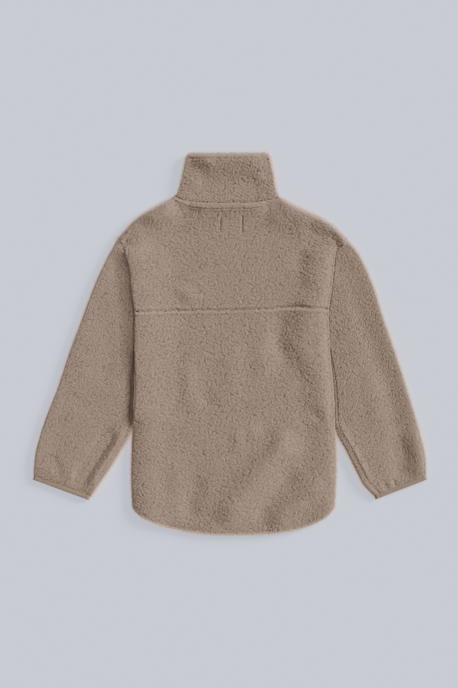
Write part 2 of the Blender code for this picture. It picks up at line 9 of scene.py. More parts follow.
import logging
from collections.abc import Callable
from dataclasses import dataclass, field
from enum import Enum, IntEnum

import bpy
import numpy as np
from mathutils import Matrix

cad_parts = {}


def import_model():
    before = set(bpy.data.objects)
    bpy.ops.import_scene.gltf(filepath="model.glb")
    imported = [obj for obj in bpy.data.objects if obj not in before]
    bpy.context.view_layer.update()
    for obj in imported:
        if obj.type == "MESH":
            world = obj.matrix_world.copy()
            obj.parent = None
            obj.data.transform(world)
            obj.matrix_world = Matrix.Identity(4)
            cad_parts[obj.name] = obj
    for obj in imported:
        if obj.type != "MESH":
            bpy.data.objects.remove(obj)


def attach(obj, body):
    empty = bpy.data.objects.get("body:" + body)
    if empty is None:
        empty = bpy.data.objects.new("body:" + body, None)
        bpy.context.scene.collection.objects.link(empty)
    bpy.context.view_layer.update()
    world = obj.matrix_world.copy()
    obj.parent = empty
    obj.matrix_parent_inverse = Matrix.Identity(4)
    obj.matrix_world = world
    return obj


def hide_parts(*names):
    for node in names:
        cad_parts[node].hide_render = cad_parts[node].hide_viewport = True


Array = np.ndarray
Pair = tuple[Array, Array]
Table = tuple[tuple[float, ...], ...]
Socket = bpy.types.NodeSocket
Piece = bpy.types.Object
Material = bpy.types.Material
LOG = logging.getLogger("fleece_jacket")
BODY = "root"
NEAR_EDGE = np.array([0.0, 0.0003, 0.0008, 0.0015, 0.0024])  # how far in the first points of a grid are
ON_FLOOR = 0.0004  # how high the lower layers lie
TINY = 1e-12


class Side(Enum):
    """The wearer's left and right. The back is seen, so the left is at -X."""

    LEFT = -1
    RIGHT = 1

    @property
    def word(self) -> str:
        """The side's name as the nodes have it."""
        return self.name.lower()


class Edge(Enum):
    """How a piece of cloth ends: its edge is rounded over this share of its thickness."""

    FREE = 0.48
    SEWN = 0.12


# --- Curves and noise ---


def curve(rows: Table, column: int, at: Array | float) -> Array:
    """One column of a table at places in its first column, on a smooth curve through its rows.

    Args:
        rows: the table, sorted by its first column.
        column: the column that is read.
        at: places in the first column.

    Returns:
        The column's values there.
    """
    places = np.array([row[0] for row in rows])
    values = np.array([row[column] for row in rows])
    steps = np.diff(places)
    slopes = np.diff(values) / steps
    tangents = np.empty(len(values))
    tangents[1:-1] = (slopes[:-1] * steps[1:] + slopes[1:] * steps[:-1]) / (steps[:-1] + steps[1:])
    tangents[0], tangents[-1] = slopes[0], slopes[-1]
    at = np.clip(at, places[0], places[-1])
    i = np.clip(np.searchsorted(places, at, side="right") - 1, 0, len(steps) - 1)
    h = steps[i]
    t = (at - places[i]) / h
    return (
        values[i] * (1 + 2 * t) * (1 - t) ** 2
        + tangents[i] * h * t * (1 - t) ** 2
        + values[i + 1] * t**2 * (3 - 2 * t)
        + tangents[i + 1] * h * t**2 * (t - 1)
    )


def ease(value: Array | float, start: float, end: float) -> Array:
    """0 before start, 1 past end, and smooth between."""
    t = np.clip((value - start) / (end - start), 0, 1)
    return t * t * (3 - 2 * t)


def scatter(i: Array, j: Array, seed: int) -> Array:
    """Repeatable numbers from 0 to 1 for the cells of a lattice.

    Args:
        i: the cells' whole-number columns.
        j: their rows.
        seed: which set of numbers.

    Returns:
        One number a cell.
    """
    mixed = (i.astype(np.int64) * 374761393 + j.astype(np.int64) * 668265263 + seed * 974711) & 0xFFFFFFFF
    mixed = ((mixed ^ (mixed >> 13)) * 1274126177) & 0xFFFFFFFF
    return ((mixed ^ (mixed >> 16)) & 0xFFFFFF) / 0xFFFFFF


def drift(s: Array, t: Array, size: float, seed: int) -> Array:
    """Smooth noise from -1 to 1 whose features are about the size given.

    Args:
        s: one cloth coordinate, in metres.
        t: the other.
        size: the lattice's spacing, in metres.
        seed: which noise.

    Returns:
        The noise at each place.
    """
    u, v = s / size, t / size
    i, j = np.floor(u), np.floor(v)
    a, b = u - i, v - j
    a, b = a * a * (3 - 2 * a), b * b * (3 - 2 * b)
    low = scatter(i, j, seed) * (1 - a) + scatter(i + 1, j, seed) * a
    high = scatter(i, j + 1, seed) * (1 - a) + scatter(i + 1, j + 1, seed) * a
    return 2 * (low * (1 - b) + high * b) - 1


def graded(near: Array, full: float, count: int) -> Array:
    """Places from 0 to a full length, evenly spaced but for those near both ends."""
    return np.concatenate([near, np.linspace(near[-1], full - near[-1], count)[1:-1], full - near[::-1]])


def added_up(steps: Array, axis: int = 0) -> Array:
    """Lengths added up along one axis, from nought."""
    return np.concatenate([np.zeros_like(np.take(steps, [0], axis)), np.cumsum(steps, axis)], axis)


def unit(vectors: Array) -> Array:
    """Vectors of length 1 that point the same ways."""
    return vectors / np.maximum(np.linalg.norm(vectors, axis=-1, keepdims=True), TINY)


def groove(away: Array, at: float, half_width: float) -> Array:
    """1 in the middle of a narrow line that far from an edge, and 0 away from it."""
    return np.exp(-(((away - at) / half_width) ** 2))


def near_edge(away: Array, width: float) -> Array:
    """1 at an edge, and 0 from that far in."""
    return np.clip(1 - away / width, 0, 1) ** 2


# --- Creases ---


@dataclass(frozen=True)
class Crease:
    """A soft ridge, or below nought a trough, along a bent line."""

    path: Table
    height: float
    half_width: float
    taper: float = 0.30

    def rise(self, x: Array, y: Array) -> Array:
        """How far the crease lifts the cloth.

        Args:
            x: places across the jacket.
            y: places along it.

        Returns:
            The height added at each place.
        """
        ends = np.array(self.path)
        runs = np.hypot(*np.diff(ends, axis=0).T)
        before = added_up(runs)
        nearest = np.full(np.shape(x), np.inf)
        along = np.zeros(np.shape(x))
        for (x0, y0), (x1, y1), start, run in zip(ends[:-1], ends[1:], before, runs):
            t = np.clip(((x - x0) * (x1 - x0) + (y - y0) * (y1 - y0)) / run**2, 0, 1)
            away = np.hypot(x - x0 - t * (x1 - x0), y - y0 - t * (y1 - y0))
            closer = away < nearest
            nearest = np.where(closer, away, nearest)
            along = np.where(closer, (start + t * run) / before[-1], along)
        fade = ease(along, -self.taper / 3, self.taper) * ease(1 - along, -self.taper / 3, self.taper)
        return self.height * fade * np.exp(-((nearest / self.half_width) ** 2))


def creased(creases: tuple[Crease, ...], x: Array, y: Array) -> Array:
    """What all the creases together add to the cloth's height."""
    return sum((crease.rise(x, y) for crease in creases), np.zeros(np.shape(x)))


@dataclass(frozen=True)
class Roll:
    """How a layer stands along a folded side: at its edge, at its crest, and in to where it lies flat."""

    edge: float
    crest: float
    crest_in: float
    flat_in: float

    def rise(self, inwards: Array) -> Array:
        """The height over the flat part at a distance in from the edge."""
        up = self.crest - (self.crest - self.edge) * near_edge(inwards, self.crest_in)
        down = self.crest * (1 - ease(inwards, self.crest_in, self.flat_in))
        return np.where(inwards < self.crest_in, up, down)


# --- Pile and shells ---


@dataclass(frozen=True)
class Pile:
    """The tufts of brushed fleece, as a relief over a cloth's own two coordinates."""

    tuft: float = 0.0051
    reach: float = 0.0040
    depth: float = 0.0022
    slant: float = 0.5
    lean: float = 1.2
    stretch: float = 1.10
    clump: float = 0.022
    fine: float = 0.0021
    bend: float = 0.60  # how far the lattice is bent, as a share of a tuft
    bend_size: float = 2.2
    swing: float = 0.8
    jitter: tuple[float, float] = (0.25, 0.50)  # where a tuft is in its cell: at least, and up to that more
    height: tuple[float, float] = (0.86, 0.14)
    blunt: float = 0.8
    shares: tuple[float, ...] = (0.90, 0.12, 0.05, 0.04)  # of tufts, fine noise, broad noise, and all over
    seed: int = 1

    def relief(self, s: Array, t: Array) -> Array:
        """The pile's height, as a share of its depth, from 0 between tufts to about 1 on them.

        Args:
            s: cloth coordinates across a piece, in metres.
            t: cloth coordinates along it.

        Returns:
            The share at each place.
        """
        bend, bend_size = self.bend * self.tuft, self.bend_size * self.tuft
        low, more = self.jitter
        s, t = s * np.cos(self.slant) - t * np.sin(self.slant), s * np.sin(self.slant) + t * np.cos(self.slant)
        s = s + bend * drift(s, t, bend_size, self.seed + 11)
        t = t + bend * drift(s, t, bend_size, self.seed + 12)
        turn = self.lean * drift(s, t, self.clump, self.seed + 13)
        i, j = np.floor(s / self.tuft), np.floor(t / self.tuft)
        best = np.zeros(np.shape(s))
        for di in (-1, 0, 1):
            for dj in (-1, 0, 1):
                a, b = i + di, j + dj
                ds = s - (a + low + more * scatter(a, b, self.seed)) * self.tuft
                dt = t - (b + low + more * scatter(a, b, self.seed + 1)) * self.tuft
                lie = turn + self.swing * (scatter(a, b, self.seed + 2) - 0.5)
                across = (ds * np.cos(lie) + dt * np.sin(lie)) * self.stretch
                along = (dt * np.cos(lie) - ds * np.sin(lie)) / self.stretch
                tall = self.height[0] + self.height[1] * scatter(a, b, self.seed + 3)
                dome = tall * np.clip(1 - np.hypot(across, along) / self.reach, 0, 1) ** self.blunt
                best = np.maximum(best, dome)
        fine = drift(s, t, self.fine, self.seed + 14)
        broad = drift(s, t, self.clump, self.seed + 15)
        of_tufts, of_fine, of_broad, all_over = self.shares
        return np.clip(of_tufts * best + of_fine * fine + of_broad * broad + all_over, 0, 1.15)


def cloth_places(points: Array, normals: Array) -> tuple[Array, Array]:
    """The cloth's own coordinates: x and y on its upper layer, and on round its folds.

    Args:
        points: rows and columns of points.
        normals: their normals.

    Returns:
        The coordinate across, which counts the height that a fold climbs too, and the one along.
    """
    steps = np.diff(points, axis=1)
    over = added_up(np.hypot(steps[..., 0], steps[..., 2]), 1)
    level = np.flatnonzero(np.abs(normals[..., 2]).mean(axis=0) > 0.8)
    top = int(level[len(level) // 2])
    after = min(top + 1, points.shape[1] - 1)
    way = np.sign(points[:, after, 0].mean() - points[:, after - 1, 0].mean())
    return points[:, top, 0][:, None] + way * (over - over[:, top][:, None]), points[..., 1]


def outward_normals(points: Array) -> Array:
    """The normals of a grid of points whose rows run away and whose columns run right, from above."""
    down_rows = np.gradient(points, axis=0)
    over_columns = np.gradient(points, axis=1)
    return unit(np.cross(over_columns, down_rows))


def to_edges(points: Array) -> tuple[Array, Array, Array]:
    """How far each point of a grid is from its sides, its first row and its last row, over the cloth."""
    across = added_up(np.linalg.norm(np.diff(points, axis=1), axis=2), 1)
    along = added_up(np.linalg.norm(np.diff(points, axis=0), axis=2), 0)
    return np.minimum(across, across[:, -1:] - across), along, along[-1:] - along


def new_mesh(name: str, points: list, faces: list) -> bpy.types.Mesh:
    """A mesh of that name from its points and its faces' corners."""
    mesh = bpy.data.meshes.new(name)
    mesh.from_pydata(points, [], faces)
    return mesh


def link(mesh: bpy.types.Mesh, name: str, finish: Material, smooth: bool = True) -> Piece:
    """Puts a mesh in the scene with its finish."""
    if smooth:
        mesh.shade_smooth()
    mesh.materials.append(finish)
    piece = bpy.data.objects.new(name, mesh)
    bpy.context.scene.collection.objects.link(piece)
    return piece


def on_points(mesh: bpy.types.Mesh, name: str, values: Array) -> None:
    """Gives each point of a mesh a value that the finishes can read."""
    layer = mesh.attributes.new(name, "FLOAT", "POINT")
    layer.data.foreach_set("value", values.astype(np.float32))


@dataclass(frozen=True)
class Wisps:
    """Loose curls of fibre, which stand out from the pile where it opens round a fold or an edge."""

    share: float = 0.80
    most: int = 6000
    length: float = 0.0058
    radius: float = 0.00022
    spread: float = 1.1
    curl: float = 2.2
    sunk: float = 0.0006
    foot_share: float = 0.6
    floor: float = 0.0003

    def grow(self, name: str, face: Array, facing: Array, rim: Array, seed: int, finish: Material) -> Piece:
        """Makes the curls of one piece, each a bent spike whose foot is in the pile.

        Args:
            name: the new object's name.
            face: the piece's outer face, as rows and columns of points.
            facing: its normals.
            rim: how open the pile is there, from 0 to 1.
            seed: which set of random numbers.
            finish: the pile's material.

        Returns:
            The new object, all the curls in one mesh.
        """
        rows, columns = np.mgrid[0 : face.shape[0], 0 : face.shape[1]]
        chance = ease(rim, 0.15, 0.75) * self.share
        kept = np.flatnonzero(scatter(rows, columns, seed + 51) < chance)
        kept = kept[:: max(1, -(-len(kept) // self.most))]
        i, j = rows.ravel()[kept], columns.ravel()[kept]
        chosen = [scatter(i, j, seed + 52 + k)[:, None] for k in range(7)]
        out = facing.reshape(-1, 3)[kept]
        ahead = unit(out + self.spread * (np.concatenate(chosen[:3], axis=1) - 0.5))
        turned = unit(ahead + self.curl * (np.concatenate(chosen[3:6], axis=1) - 0.5))
        length = self.length * (0.5 + 0.8 * chosen[6])
        foot = face.reshape(-1, 3)[kept] - self.sunk * out
        middle = foot + self.foot_share * length * ahead
        beside = unit(np.cross(ahead, np.array([0.31, 0.52, 0.79])))  # by a way that few curls take
        above = np.cross(ahead, beside)
        rings = [
            centre + radius * (np.cos(turn) * beside + np.sin(turn) * above)
            for centre, radius in ((foot, self.radius), (middle, 0.8 * self.radius))
            for turn in (0.0, 2.0944, 4.1888)  # thirds of a turn
        ]
        points = np.stack([*rings, middle + 0.4 * length * turned], axis=1)
        points[..., 2] = np.maximum(points[..., 2], self.floor)
        corners = [[2, 1, 0]]
        for k in range(3):
            after = (k + 1) % 3
            corners += [[k, after, 3 + after], [k, 3 + after, 3 + k], [3 + k, 3 + after, 6]]
        faces = (7 * np.arange(len(kept))[:, None, None] + np.array(corners)).reshape(-1, 3)
        mesh = new_mesh(name, points.reshape(-1, 3).tolist(), faces.tolist())
        # painted light: the curls are coloured lighter towards their tips and get the full painted rim glow
        on_points(mesh, "pile_shade_and_light", np.tile([0.9] * 3 + [1.3] * 3 + [1.6], len(kept)))
        on_points(mesh, "pile_rim_glow", np.ones(7 * len(kept)))
        piece = link(mesh, name, finish)
        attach(piece, BODY)
        LOG.info("%s: %d curls", name, len(kept))
        return piece


@dataclass
class Shell:
    """A piece of cloth: a fine outer face with its pile, a coarse inner one and a rim."""

    name: str
    outer: Array
    wall: float
    first: Edge = Edge.SEWN
    last: Edge = Edge.SEWN
    sides: Edge = Edge.SEWN
    pile: Pile | None = field(default_factory=Pile)
    pile_seed: int = 0
    coarse: int = 4
    floor: float = 0.0002
    turned: bool = False
    open_reach: float = 0.0045
    # painted rim highlight: how much lighter the painted colour is where the pile opens, at free edges and on steep
    # fold sides
    painted_rim_light: float = 0.45
    fold_opens: float = 0.85
    sewn_opens: float = 0.3
    inner_share: float = 0.94  # how much of the rounding's loss comes off the inner face too
    shut: Array | None = None  # 1 where the cloth lies against another piece, which keeps its pile shut
    wisps: Piece | None = None

    def facing(self, points: Array) -> Array:
        """The normals that point out of the cloth."""
        return outward_normals(points) * (-1 if self.turned else 1)

    def rounded(self) -> tuple[Array, Array, Array, Array]:
        """The outer face with its edges rounded, its normals, the depth it loses and how open its pile is."""
        normals = self.facing(self.outer)
        loss, opened = np.zeros(self.outer.shape[:2]), np.zeros(self.outer.shape[:2])
        for away, edge in zip(to_edges(self.outer), (self.sides, self.first, self.last)):
            radius = edge.value * self.wall
            rest = np.clip(radius - away, 0, radius)
            loss = np.maximum(loss, radius - np.sqrt(radius**2 - rest**2))
            opens = 1.0 if edge is Edge.FREE else self.sewn_opens
            opened = np.maximum(opened, opens * np.exp(-away / (self.open_reach * opens)))
        return self.outer - normals * loss[..., None], normals, loss, opened

    def build(self, finish: Material) -> Piece:
        """Makes the closed mesh.

        Args:
            finish: the material.

        Returns:
            The new object, with the values for the pile's painted shade and light and for its painted glow on its
            vertices.
        """
        face, normals, loss, opened = self.rounded()
        outer = face
        relief, rim = np.full(loss.shape, 0.7), np.zeros(loss.shape)
        if self.pile is not None:
            s, t = cloth_places(self.outer, normals)
            relief = self.pile.relief(s + 3.1 * self.pile_seed, t + 1.7 * self.pile_seed)
            facing = self.facing(face)
            below = ease(-facing[..., 2], 0.2, 0.9)
            steep = ease(1 - np.abs(normals[..., 2]), 0.06, 0.80)
            opened = np.maximum(opened, self.fold_opens * steep)
            # where the cloth lies against another piece: no painted rim light or glow, and a lower pile on steep
            # sides, which also darkens the painted shade there
            if self.shut is not None:
                opened = opened * (1 - self.shut)
                relief = relief * (1 - 0.4 * self.shut * steep)
            lift = relief * (1 + opened) - 0.50 + 0.10 * opened - 0.5 * below
            outer = face + facing * (self.pile.depth * lift)[..., None]
            # painted rim highlight where the pile opens, steep fold sides included; rim marks where the finish adds a
            # painted glow, except on faces that look down
            relief = relief + self.painted_rim_light * opened
            rim = ease(opened, 0.1, 0.9) * (1 - below)
            self.wisps = Wisps().grow(self.name + "_wisps", outer, facing, rim, self.pile_seed, finish)
        outer[..., 2] = np.maximum(outer[..., 2], self.floor)
        rows, columns = loss.shape
        keep_rows = sorted({*range(0, rows, self.coarse), rows - 1})
        keep_columns = sorted({*range(0, columns, self.coarse), columns - 1})
        depth = self.wall - self.inner_share * loss
        inner = (self.outer - normals * depth[..., None])[np.ix_(keep_rows, keep_columns)]
        inner[..., 2] = np.maximum(inner[..., 2], 2 * self.floor)
        return self._stitch(outer, inner, (relief, rim), keep_rows, keep_columns, finish)

    def _stitch(
        self,
        outer: Array,
        inner: Array,
        looks: tuple[Array, Array],
        keep_rows: list[int],
        keep_columns: list[int],
        finish: Material,
    ) -> Piece:
        """Joins the two faces round their rims into one closed mesh."""
        rows, columns = looks[0].shape
        index = np.arange(rows * columns).reshape(rows, columns)
        within = rows * columns + np.arange(inner.shape[0] * inner.shape[1]).reshape(inner.shape[:2])

        def quads(grid: Array, up: bool) -> list[list[int]]:
            """The corners of a grid's faces."""
            corners = [grid[:-1, :-1], grid[:-1, 1:], grid[1:, 1:], grid[1:, :-1]]
            corners = corners if up else corners[::-1]
            return np.stack([c.ravel() for c in corners], axis=1).tolist()

        faces = quads(index, not self.turned) + quads(within, self.turned)
        rims = (
            (index[0], within[0], keep_columns, 1),
            (index[-1], within[-1], keep_columns, -1),
            (index[:, 0], within[:, 0], keep_rows, -1),
            (index[:, -1], within[:, -1], keep_rows, 1),
        )
        for fine, coarse, kept, way in rims:
            for k in range(len(kept) - 1):
                face = [int(v) for v in (*fine[kept[k] : kept[k + 1] + 1], coarse[k + 1], coarse[k])]
                faces.append(face[::-1] if way * (-1 if self.turned else 1) > 0 else face)
        points = np.concatenate([outer.reshape(-1, 3), inner.reshape(-1, 3)])
        mesh = new_mesh(self.name, points.tolist(), faces)
        # per point: the value that sets the painted shade and light, and the painted rim glow; the inner face gets a
        # middle value and no glow
        for name, look, within_look in zip(("pile_shade_and_light", "pile_rim_glow"), looks, (0.45, 0.0)):
            on_points(mesh, name, np.concatenate([look.ravel(), np.full(within.size, within_look)]))
        mesh.validate()
        return link(mesh, self.name, finish)


# --- Finishes ---


def set_inputs(node: bpy.types.Node, **inputs: float | tuple[float, ...]) -> None:
    """Sets some of a node's inputs, named with _ for a space."""
    for name, value in inputs.items():
        node.inputs[name.replace("_", " ").title().replace("Ior", "IOR")].default_value = value


class Nodes:
    """Short names for the shader nodes that the finishes are made from."""

    def __init__(self, name: str, **inputs: float | tuple[float, ...]) -> None:
        """Makes a material of that name and sets its Principled shader's inputs."""
        self.material = bpy.data.materials.new(name)
        self.material.use_nodes = True
        self.tree = self.material.node_tree
        self.shader = self.tree.nodes["Principled BSDF"]
        self.places = self.tree.nodes.new("ShaderNodeTexCoord").outputs["Object"]
        set_inputs(self.shader, **inputs)

    def node(self, kind: str, **inputs: float) -> bpy.types.Node:
        """A new node of that kind, with those inputs set."""
        node = self.tree.nodes.new("ShaderNode" + kind)
        set_inputs(node, **inputs)
        return node

    def join(self, source: Socket, target: Socket) -> None:
        """Links two sockets."""
        self.tree.links.new(source, target)

    def colour(self, source: Socket) -> None:
        """Makes a socket the shader's colour."""
        self.join(source, self.shader.inputs["Base Color"])

    def attribute(self, name: str) -> Socket:
        """The value that each point of the mesh has under that name."""
        node = self.node("Attribute")
        node.attribute_name = name
        return node.outputs["Fac"]

    def noise(self, scale: float, detail: float = 2.0, roughness: float = 0.5) -> Socket:
        """Noise over the piece, with that many features in a metre."""
        node = self.node("TexNoise", scale=scale, detail=detail, roughness=roughness)
        self.join(self.places, node.inputs["Vector"])
        return node.outputs["Fac"]

    def ramp(self, source: Socket, stops: Table) -> Socket:
        """A colour ramp whose stops are (place, red, green, blue)."""
        node = self.node("ValToRGB")
        elements = node.color_ramp.elements
        while len(elements) < len(stops):
            elements.new(0.5)
        for element, (place, *colour) in zip(elements, stops):
            element.position = place
            element.color = (*colour, 1.0)
        self.join(source, node.inputs["Fac"])
        return node.outputs["Color"]

    def spread(self, source: Socket, low: float, high: float) -> Socket:
        """The middle of a 0 to 1 noise turned to the range from low to high."""
        node = self.node("MapRange", from_min=0.3, from_max=0.7, to_min=low, to_max=high)
        self.join(source, node.inputs["Value"])
        return node.outputs["Result"]

    def halved(self, source: Socket) -> Socket:
        """Half of a value, so that a ramp can take values up to 2."""
        node = self.node("Math")
        node.operation = "MULTIPLY"
        node.inputs[1].default_value = 0.5
        self.join(source, node.inputs[0])
        return node.outputs["Value"]

    def times(self, colour: Socket, factor: Socket) -> Socket:
        """A colour scaled by a value."""
        node = self.node("VectorMath")
        node.operation = "SCALE"
        self.join(colour, node.inputs[0])
        self.join(factor, node.inputs["Scale"])
        return node.outputs["Vector"]

    def bump(self, *sources: tuple[Socket, float]) -> None:
        """Relief in the shader: each source with its depth in metres."""
        normal = None
        for source, depth in sources:
            node = self.node("Bump", strength=1.0, distance=depth)
            self.join(source, node.inputs["Height"])
            if normal is not None:
                self.join(normal, node.inputs["Normal"])
            normal = node.outputs["Normal"]
        self.join(normal, self.shader.inputs["Normal"])


@dataclass(frozen=True)
class PileFinish:
    """Brushed fleece: painted shade between its tufts, painted light at their tips and open folds, with a soft sheen.
    """

    name: str = "pile_fleece"
    # painted shade between the tufts, the fleece's own colour on their sides, painted light at their tips and a
    # painted highlight at open folds and edges
    gap: tuple[float, float, float] = (0.215, 0.143, 0.100)
    side: tuple[float, float, float] = (0.345, 0.242, 0.175)
    tip: tuple[float, float, float] = (0.450, 0.322, 0.238)
    rim: tuple[float, float, float] = (0.680, 0.530, 0.420)
    # strength of the painted glow at open folds and edges
    through: float = 1.00
    sheen: float = 0.45

    def make(self) -> Material:
        """Makes the material."""
        nodes = Nodes(
            self.name,
            roughness=0.95,
            sheen_weight=self.sheen,
            sheen_roughness=0.55,
            sheen_tint=(0.95, 0.88, 0.80, 1.0),
            specular_ior_level=0.15,
            emission_strength=self.through,
        )
        # the ramp paints shade low in the pile and light high in it
        stops = ((0.04, *self.gap), (0.25, *self.side), (0.55, *self.tip), (0.85, *self.rim))
        colour = nodes.ramp(nodes.halved(nodes.attribute("pile_shade_and_light")), stops)
        colour = nodes.times(colour, nodes.spread(nodes.noise(9.0, 3.0), 0.98, 1.02))
        colour = nodes.times(colour, nodes.spread(nodes.noise(290.0, 3.0, 0.7), 0.74, 1.26))
        nodes.colour(colour)
        nodes.bump((nodes.noise(380.0, 4.0, 0.75), 0.0010))
        # painted glow at open folds and edges, which stands for light coming through the loose fibres there
        through = nodes.times(colour, nodes.attribute("pile_rim_glow"))
        nodes.join(through, nodes.shader.inputs["Emission Color"])
        return nodes.material


@dataclass(frozen=True)
class TapeFinish:
    """Woven or knitted tape with fine cross ribs."""

    name: str
    colour: tuple[float, float, float]
    ribs: float = 900.0

    def make(self) -> Material:
        """Makes the material."""
        nodes = Nodes(self.name, roughness=0.85, sheen_weight=0.2, sheen_roughness=0.4)
        weave = nodes.node("TexWave", scale=self.ribs / 6.2832, distortion=1.5, detail=1.0)
        nodes.join(nodes.places, weave.inputs["Vector"])
        low = tuple(0.82 * c for c in self.colour)
        colour = nodes.ramp(weave.outputs["Fac"], ((0.0, *low), (1.0, *self.colour)))
        colour = nodes.times(colour, nodes.spread(nodes.noise(60.0, 3.0), 0.94, 1.06))
        nodes.colour(colour)
        nodes.bump((weave.outputs["Fac"], 0.0002), (nodes.noise(1400.0, 2.0), 0.0001))
        return nodes.material


@dataclass(frozen=True)
class MetalFinish:
    """The slider's satin metal, rubbed a little lighter where it is handled."""

    name: str = "zip_metal"
    colour: tuple[float, float, float] = (0.230, 0.200, 0.175)

    def make(self) -> Material:
        """Makes the material."""
        nodes = Nodes(self.name, metallic=0.9)
        worn = tuple(1.5 * c for c in self.colour)
        nodes.colour(nodes.ramp(nodes.noise(160.0, 4.0), ((0.45, *self.colour), (0.75, *worn))))
        nodes.join(nodes.spread(nodes.noise(700.0, 3.0), 0.30, 0.48), nodes.shader.inputs["Roughness"])
        nodes.bump((nodes.noise(2500.0, 2.0), 0.00004))
        return nodes.material


# --- The body ---


@dataclass
class BodyForm:
    """The outline and the height of the body, which its panels and the sleeves share.

    A pair of numbers is where something starts to change and where it has changed.
    """

    wall: float = 0.0050
    gap: float = 0.0002
    top: float = 0.0136
    foot: float = 0.0088
    seam_dip: float = 0.0016
    seam_width: float = 0.0070
    left_fold: float = 0.25
    left_radius: float = 0.0028
    right_fold: float = 0.36
    right_radius: float = 0.0022
    free_radius: float = 0.0056
    free_left: Roll = Roll(0.0000, 0.0046, 0.034, 0.088)
    sewn_left: Roll = Roll(0.0084, 0.0098, 0.010, 0.110)
    free_right: Roll = Roll(-0.0016, 0.0026, 0.020, 0.070)
    sewn_right: Roll = Roll(-0.0030, 0.0050, 0.026, 0.080)
    shoulder: Roll = Roll(0.0024, 0.0055, 0.009, 0.046)
    hem_y: float = -0.4215
    hem_rise: float = 0.0480
    hem_power: float = 2.4
    hem_lean: float = 0.0036
    hem_corner: float = 0.0120
    hem_corner_power: float = 24.0
    front_hem_up: float = 0.0080
    neck_y: float = 0.3100
    neck_rise: float = 0.0150
    neck_power: float = 4.0
    front_neck_drop: float = 0.0600
    neck_left: float = -0.1235
    neck_right: float = 0.1080
    underarm_y: float = -0.0200
    side_y: float = -0.3650
    yoke_side_y: float = 0.0750
    collar_top: float = 0.4215
    zip_opening: float = 0.0110
    armhole: tuple[float, float] = (-0.006, 0.010)  # over the underarm, where the sleeve is sewn on
    sleeve_low: tuple[float, float] = (-0.200, -0.150)
    sleeve_high: tuple[float, float] = (0.196, 0.224)
    shut_high: tuple[float, float] = (0.212, 0.228)
    shut_in: tuple[float, float] = (0.010, 0.018)
    shoulder_low: tuple[float, float] = (0.15, 0.20)
    shoulder_in: tuple[float, float] = (-0.012, 0.020)
    edges: Table = (  # y, x on the left, x on the right
        (-0.4100, -0.2113, 0.2228),
        (-0.3650, -0.2148, 0.2288),
        (-0.3000, -0.2178, 0.2336),
        (-0.1900, -0.2152, 0.2316),
        (-0.0900, -0.2102, 0.2275),
        (-0.0330, -0.2120, 0.2220),
        (0.0310, -0.2120, 0.2194),
        (0.0730, -0.2124, 0.2184),
        (0.1190, -0.2186, 0.2246),
        (0.1720, -0.2246, 0.2303),
        (0.2050, -0.2340, 0.2346),
        (0.2240, -0.2416, 0.2453),
        (0.2332, -0.2472, 0.2553),
    )
    shoulders: Table = (  # how far along, y, x on the left, x on the right
        (0.00, 0.2332, -0.2472, 0.2553),
        (0.25, 0.2580, -0.2247, 0.2308),
        (0.50, 0.2830, -0.1977, 0.1908),
        (0.75, 0.3040, -0.1627, 0.1453),
        (1.00, 0.3250, -0.1235, 0.1080),
    )
    yoke_line: Table = (  # x, y
        (-0.2172, 0.0706),
        (-0.1022, 0.0730),
        (0.0478, 0.0755),
        (0.1428, 0.0795),
        (0.2178, 0.0765),
    )
    centre_front: Table = (  # y, x
        (-0.4215, 0.0060),
        (0.0500, 0.0060),
        (0.2332, -0.0070),
    )
    creases: tuple[Crease, ...] = (
        # the ridges and troughs that fan out from the hem
        Crease(((0.140, -0.190), (0.110, -0.230), (0.052, -0.300), (-0.028, -0.395)), 0.0092, 0.029, 0.2),
        Crease(((0.150, -0.275), (0.100, -0.335), (0.050, -0.392)), -0.0050, 0.020, 0.25),
        Crease(((0.206, -0.300), (0.150, -0.352), (0.082, -0.405)), 0.0070, 0.021, 0.25),
        Crease(((-0.060, -0.290), (-0.085, -0.335), (-0.092, -0.395)), -0.0040, 0.022, 0.3),
        Crease(((0.096, -0.170), (0.078, -0.230), (0.060, -0.262)), -0.0014, 0.014, 0.4),
        Crease(((0.020, -0.180), (0.016, -0.240)), 0.0022, 0.014, 0.5),
        # below the yoke seam, on the right: a fold stands up towards the side
        Crease(((0.170, 0.120), (0.160, 0.060), (0.154, 0.000), (0.176, -0.075)), 0.0042, 0.027, 0.25),
        Crease(((0.116, 0.078), (0.104, 0.020), (0.122, -0.050)), -0.0034, 0.020, 0.3),
        Crease(((0.170, -0.138), (0.206, -0.176)), -0.0022, 0.013, 0.4),
        # across the yoke
        Crease(((0.190, 0.205), (0.178, 0.165), (0.186, 0.120)), 0.0022, 0.024, 0.4),
        Crease(((0.160, 0.210), (0.150, 0.160)), -0.0024, 0.018, 0.4),
        Crease(((-0.194, 0.262), (-0.112, 0.300)), 0.0070, 0.026, 0.4),
        Crease(((-0.150, 0.240), (-0.085, 0.250)), -0.0020, 0.020, 0.4),
        Crease(((0.080, 0.296), (0.180, 0.254)), 0.0054, 0.026, 0.3),
        Crease(((-0.090, 0.312), (0.000, 0.305), (0.085, 0.312)), 0.0058, 0.030, 0.2),
        Crease(((-0.085, 0.130), (-0.110, 0.092)), 0.0030, 0.026, 0.5),
        # soft columns down the back
        Crease(((-0.092, -0.040), (-0.090, -0.150)), 0.0026, 0.019, 0.4),
        Crease(((-0.052, -0.100), (-0.046, -0.150)), -0.0024, 0.018, 0.5),
        Crease(((0.052, -0.170), (0.046, -0.215)), 0.0026, 0.014, 0.5),
        Crease(((0.000, 0.010), (0.006, -0.110)), 0.0022, 0.024, 0.5),
        Crease(((0.066, 0.020), (0.076, -0.090)), 0.0020, 0.022, 0.5),
        Crease(((-0.130, -0.240), (-0.120, -0.330)), 0.0020, 0.024, 0.5),
    )

    def left(self, y: Array | float) -> Array:
        """The body's left edge."""
        return curve(self.edges, 1, y)

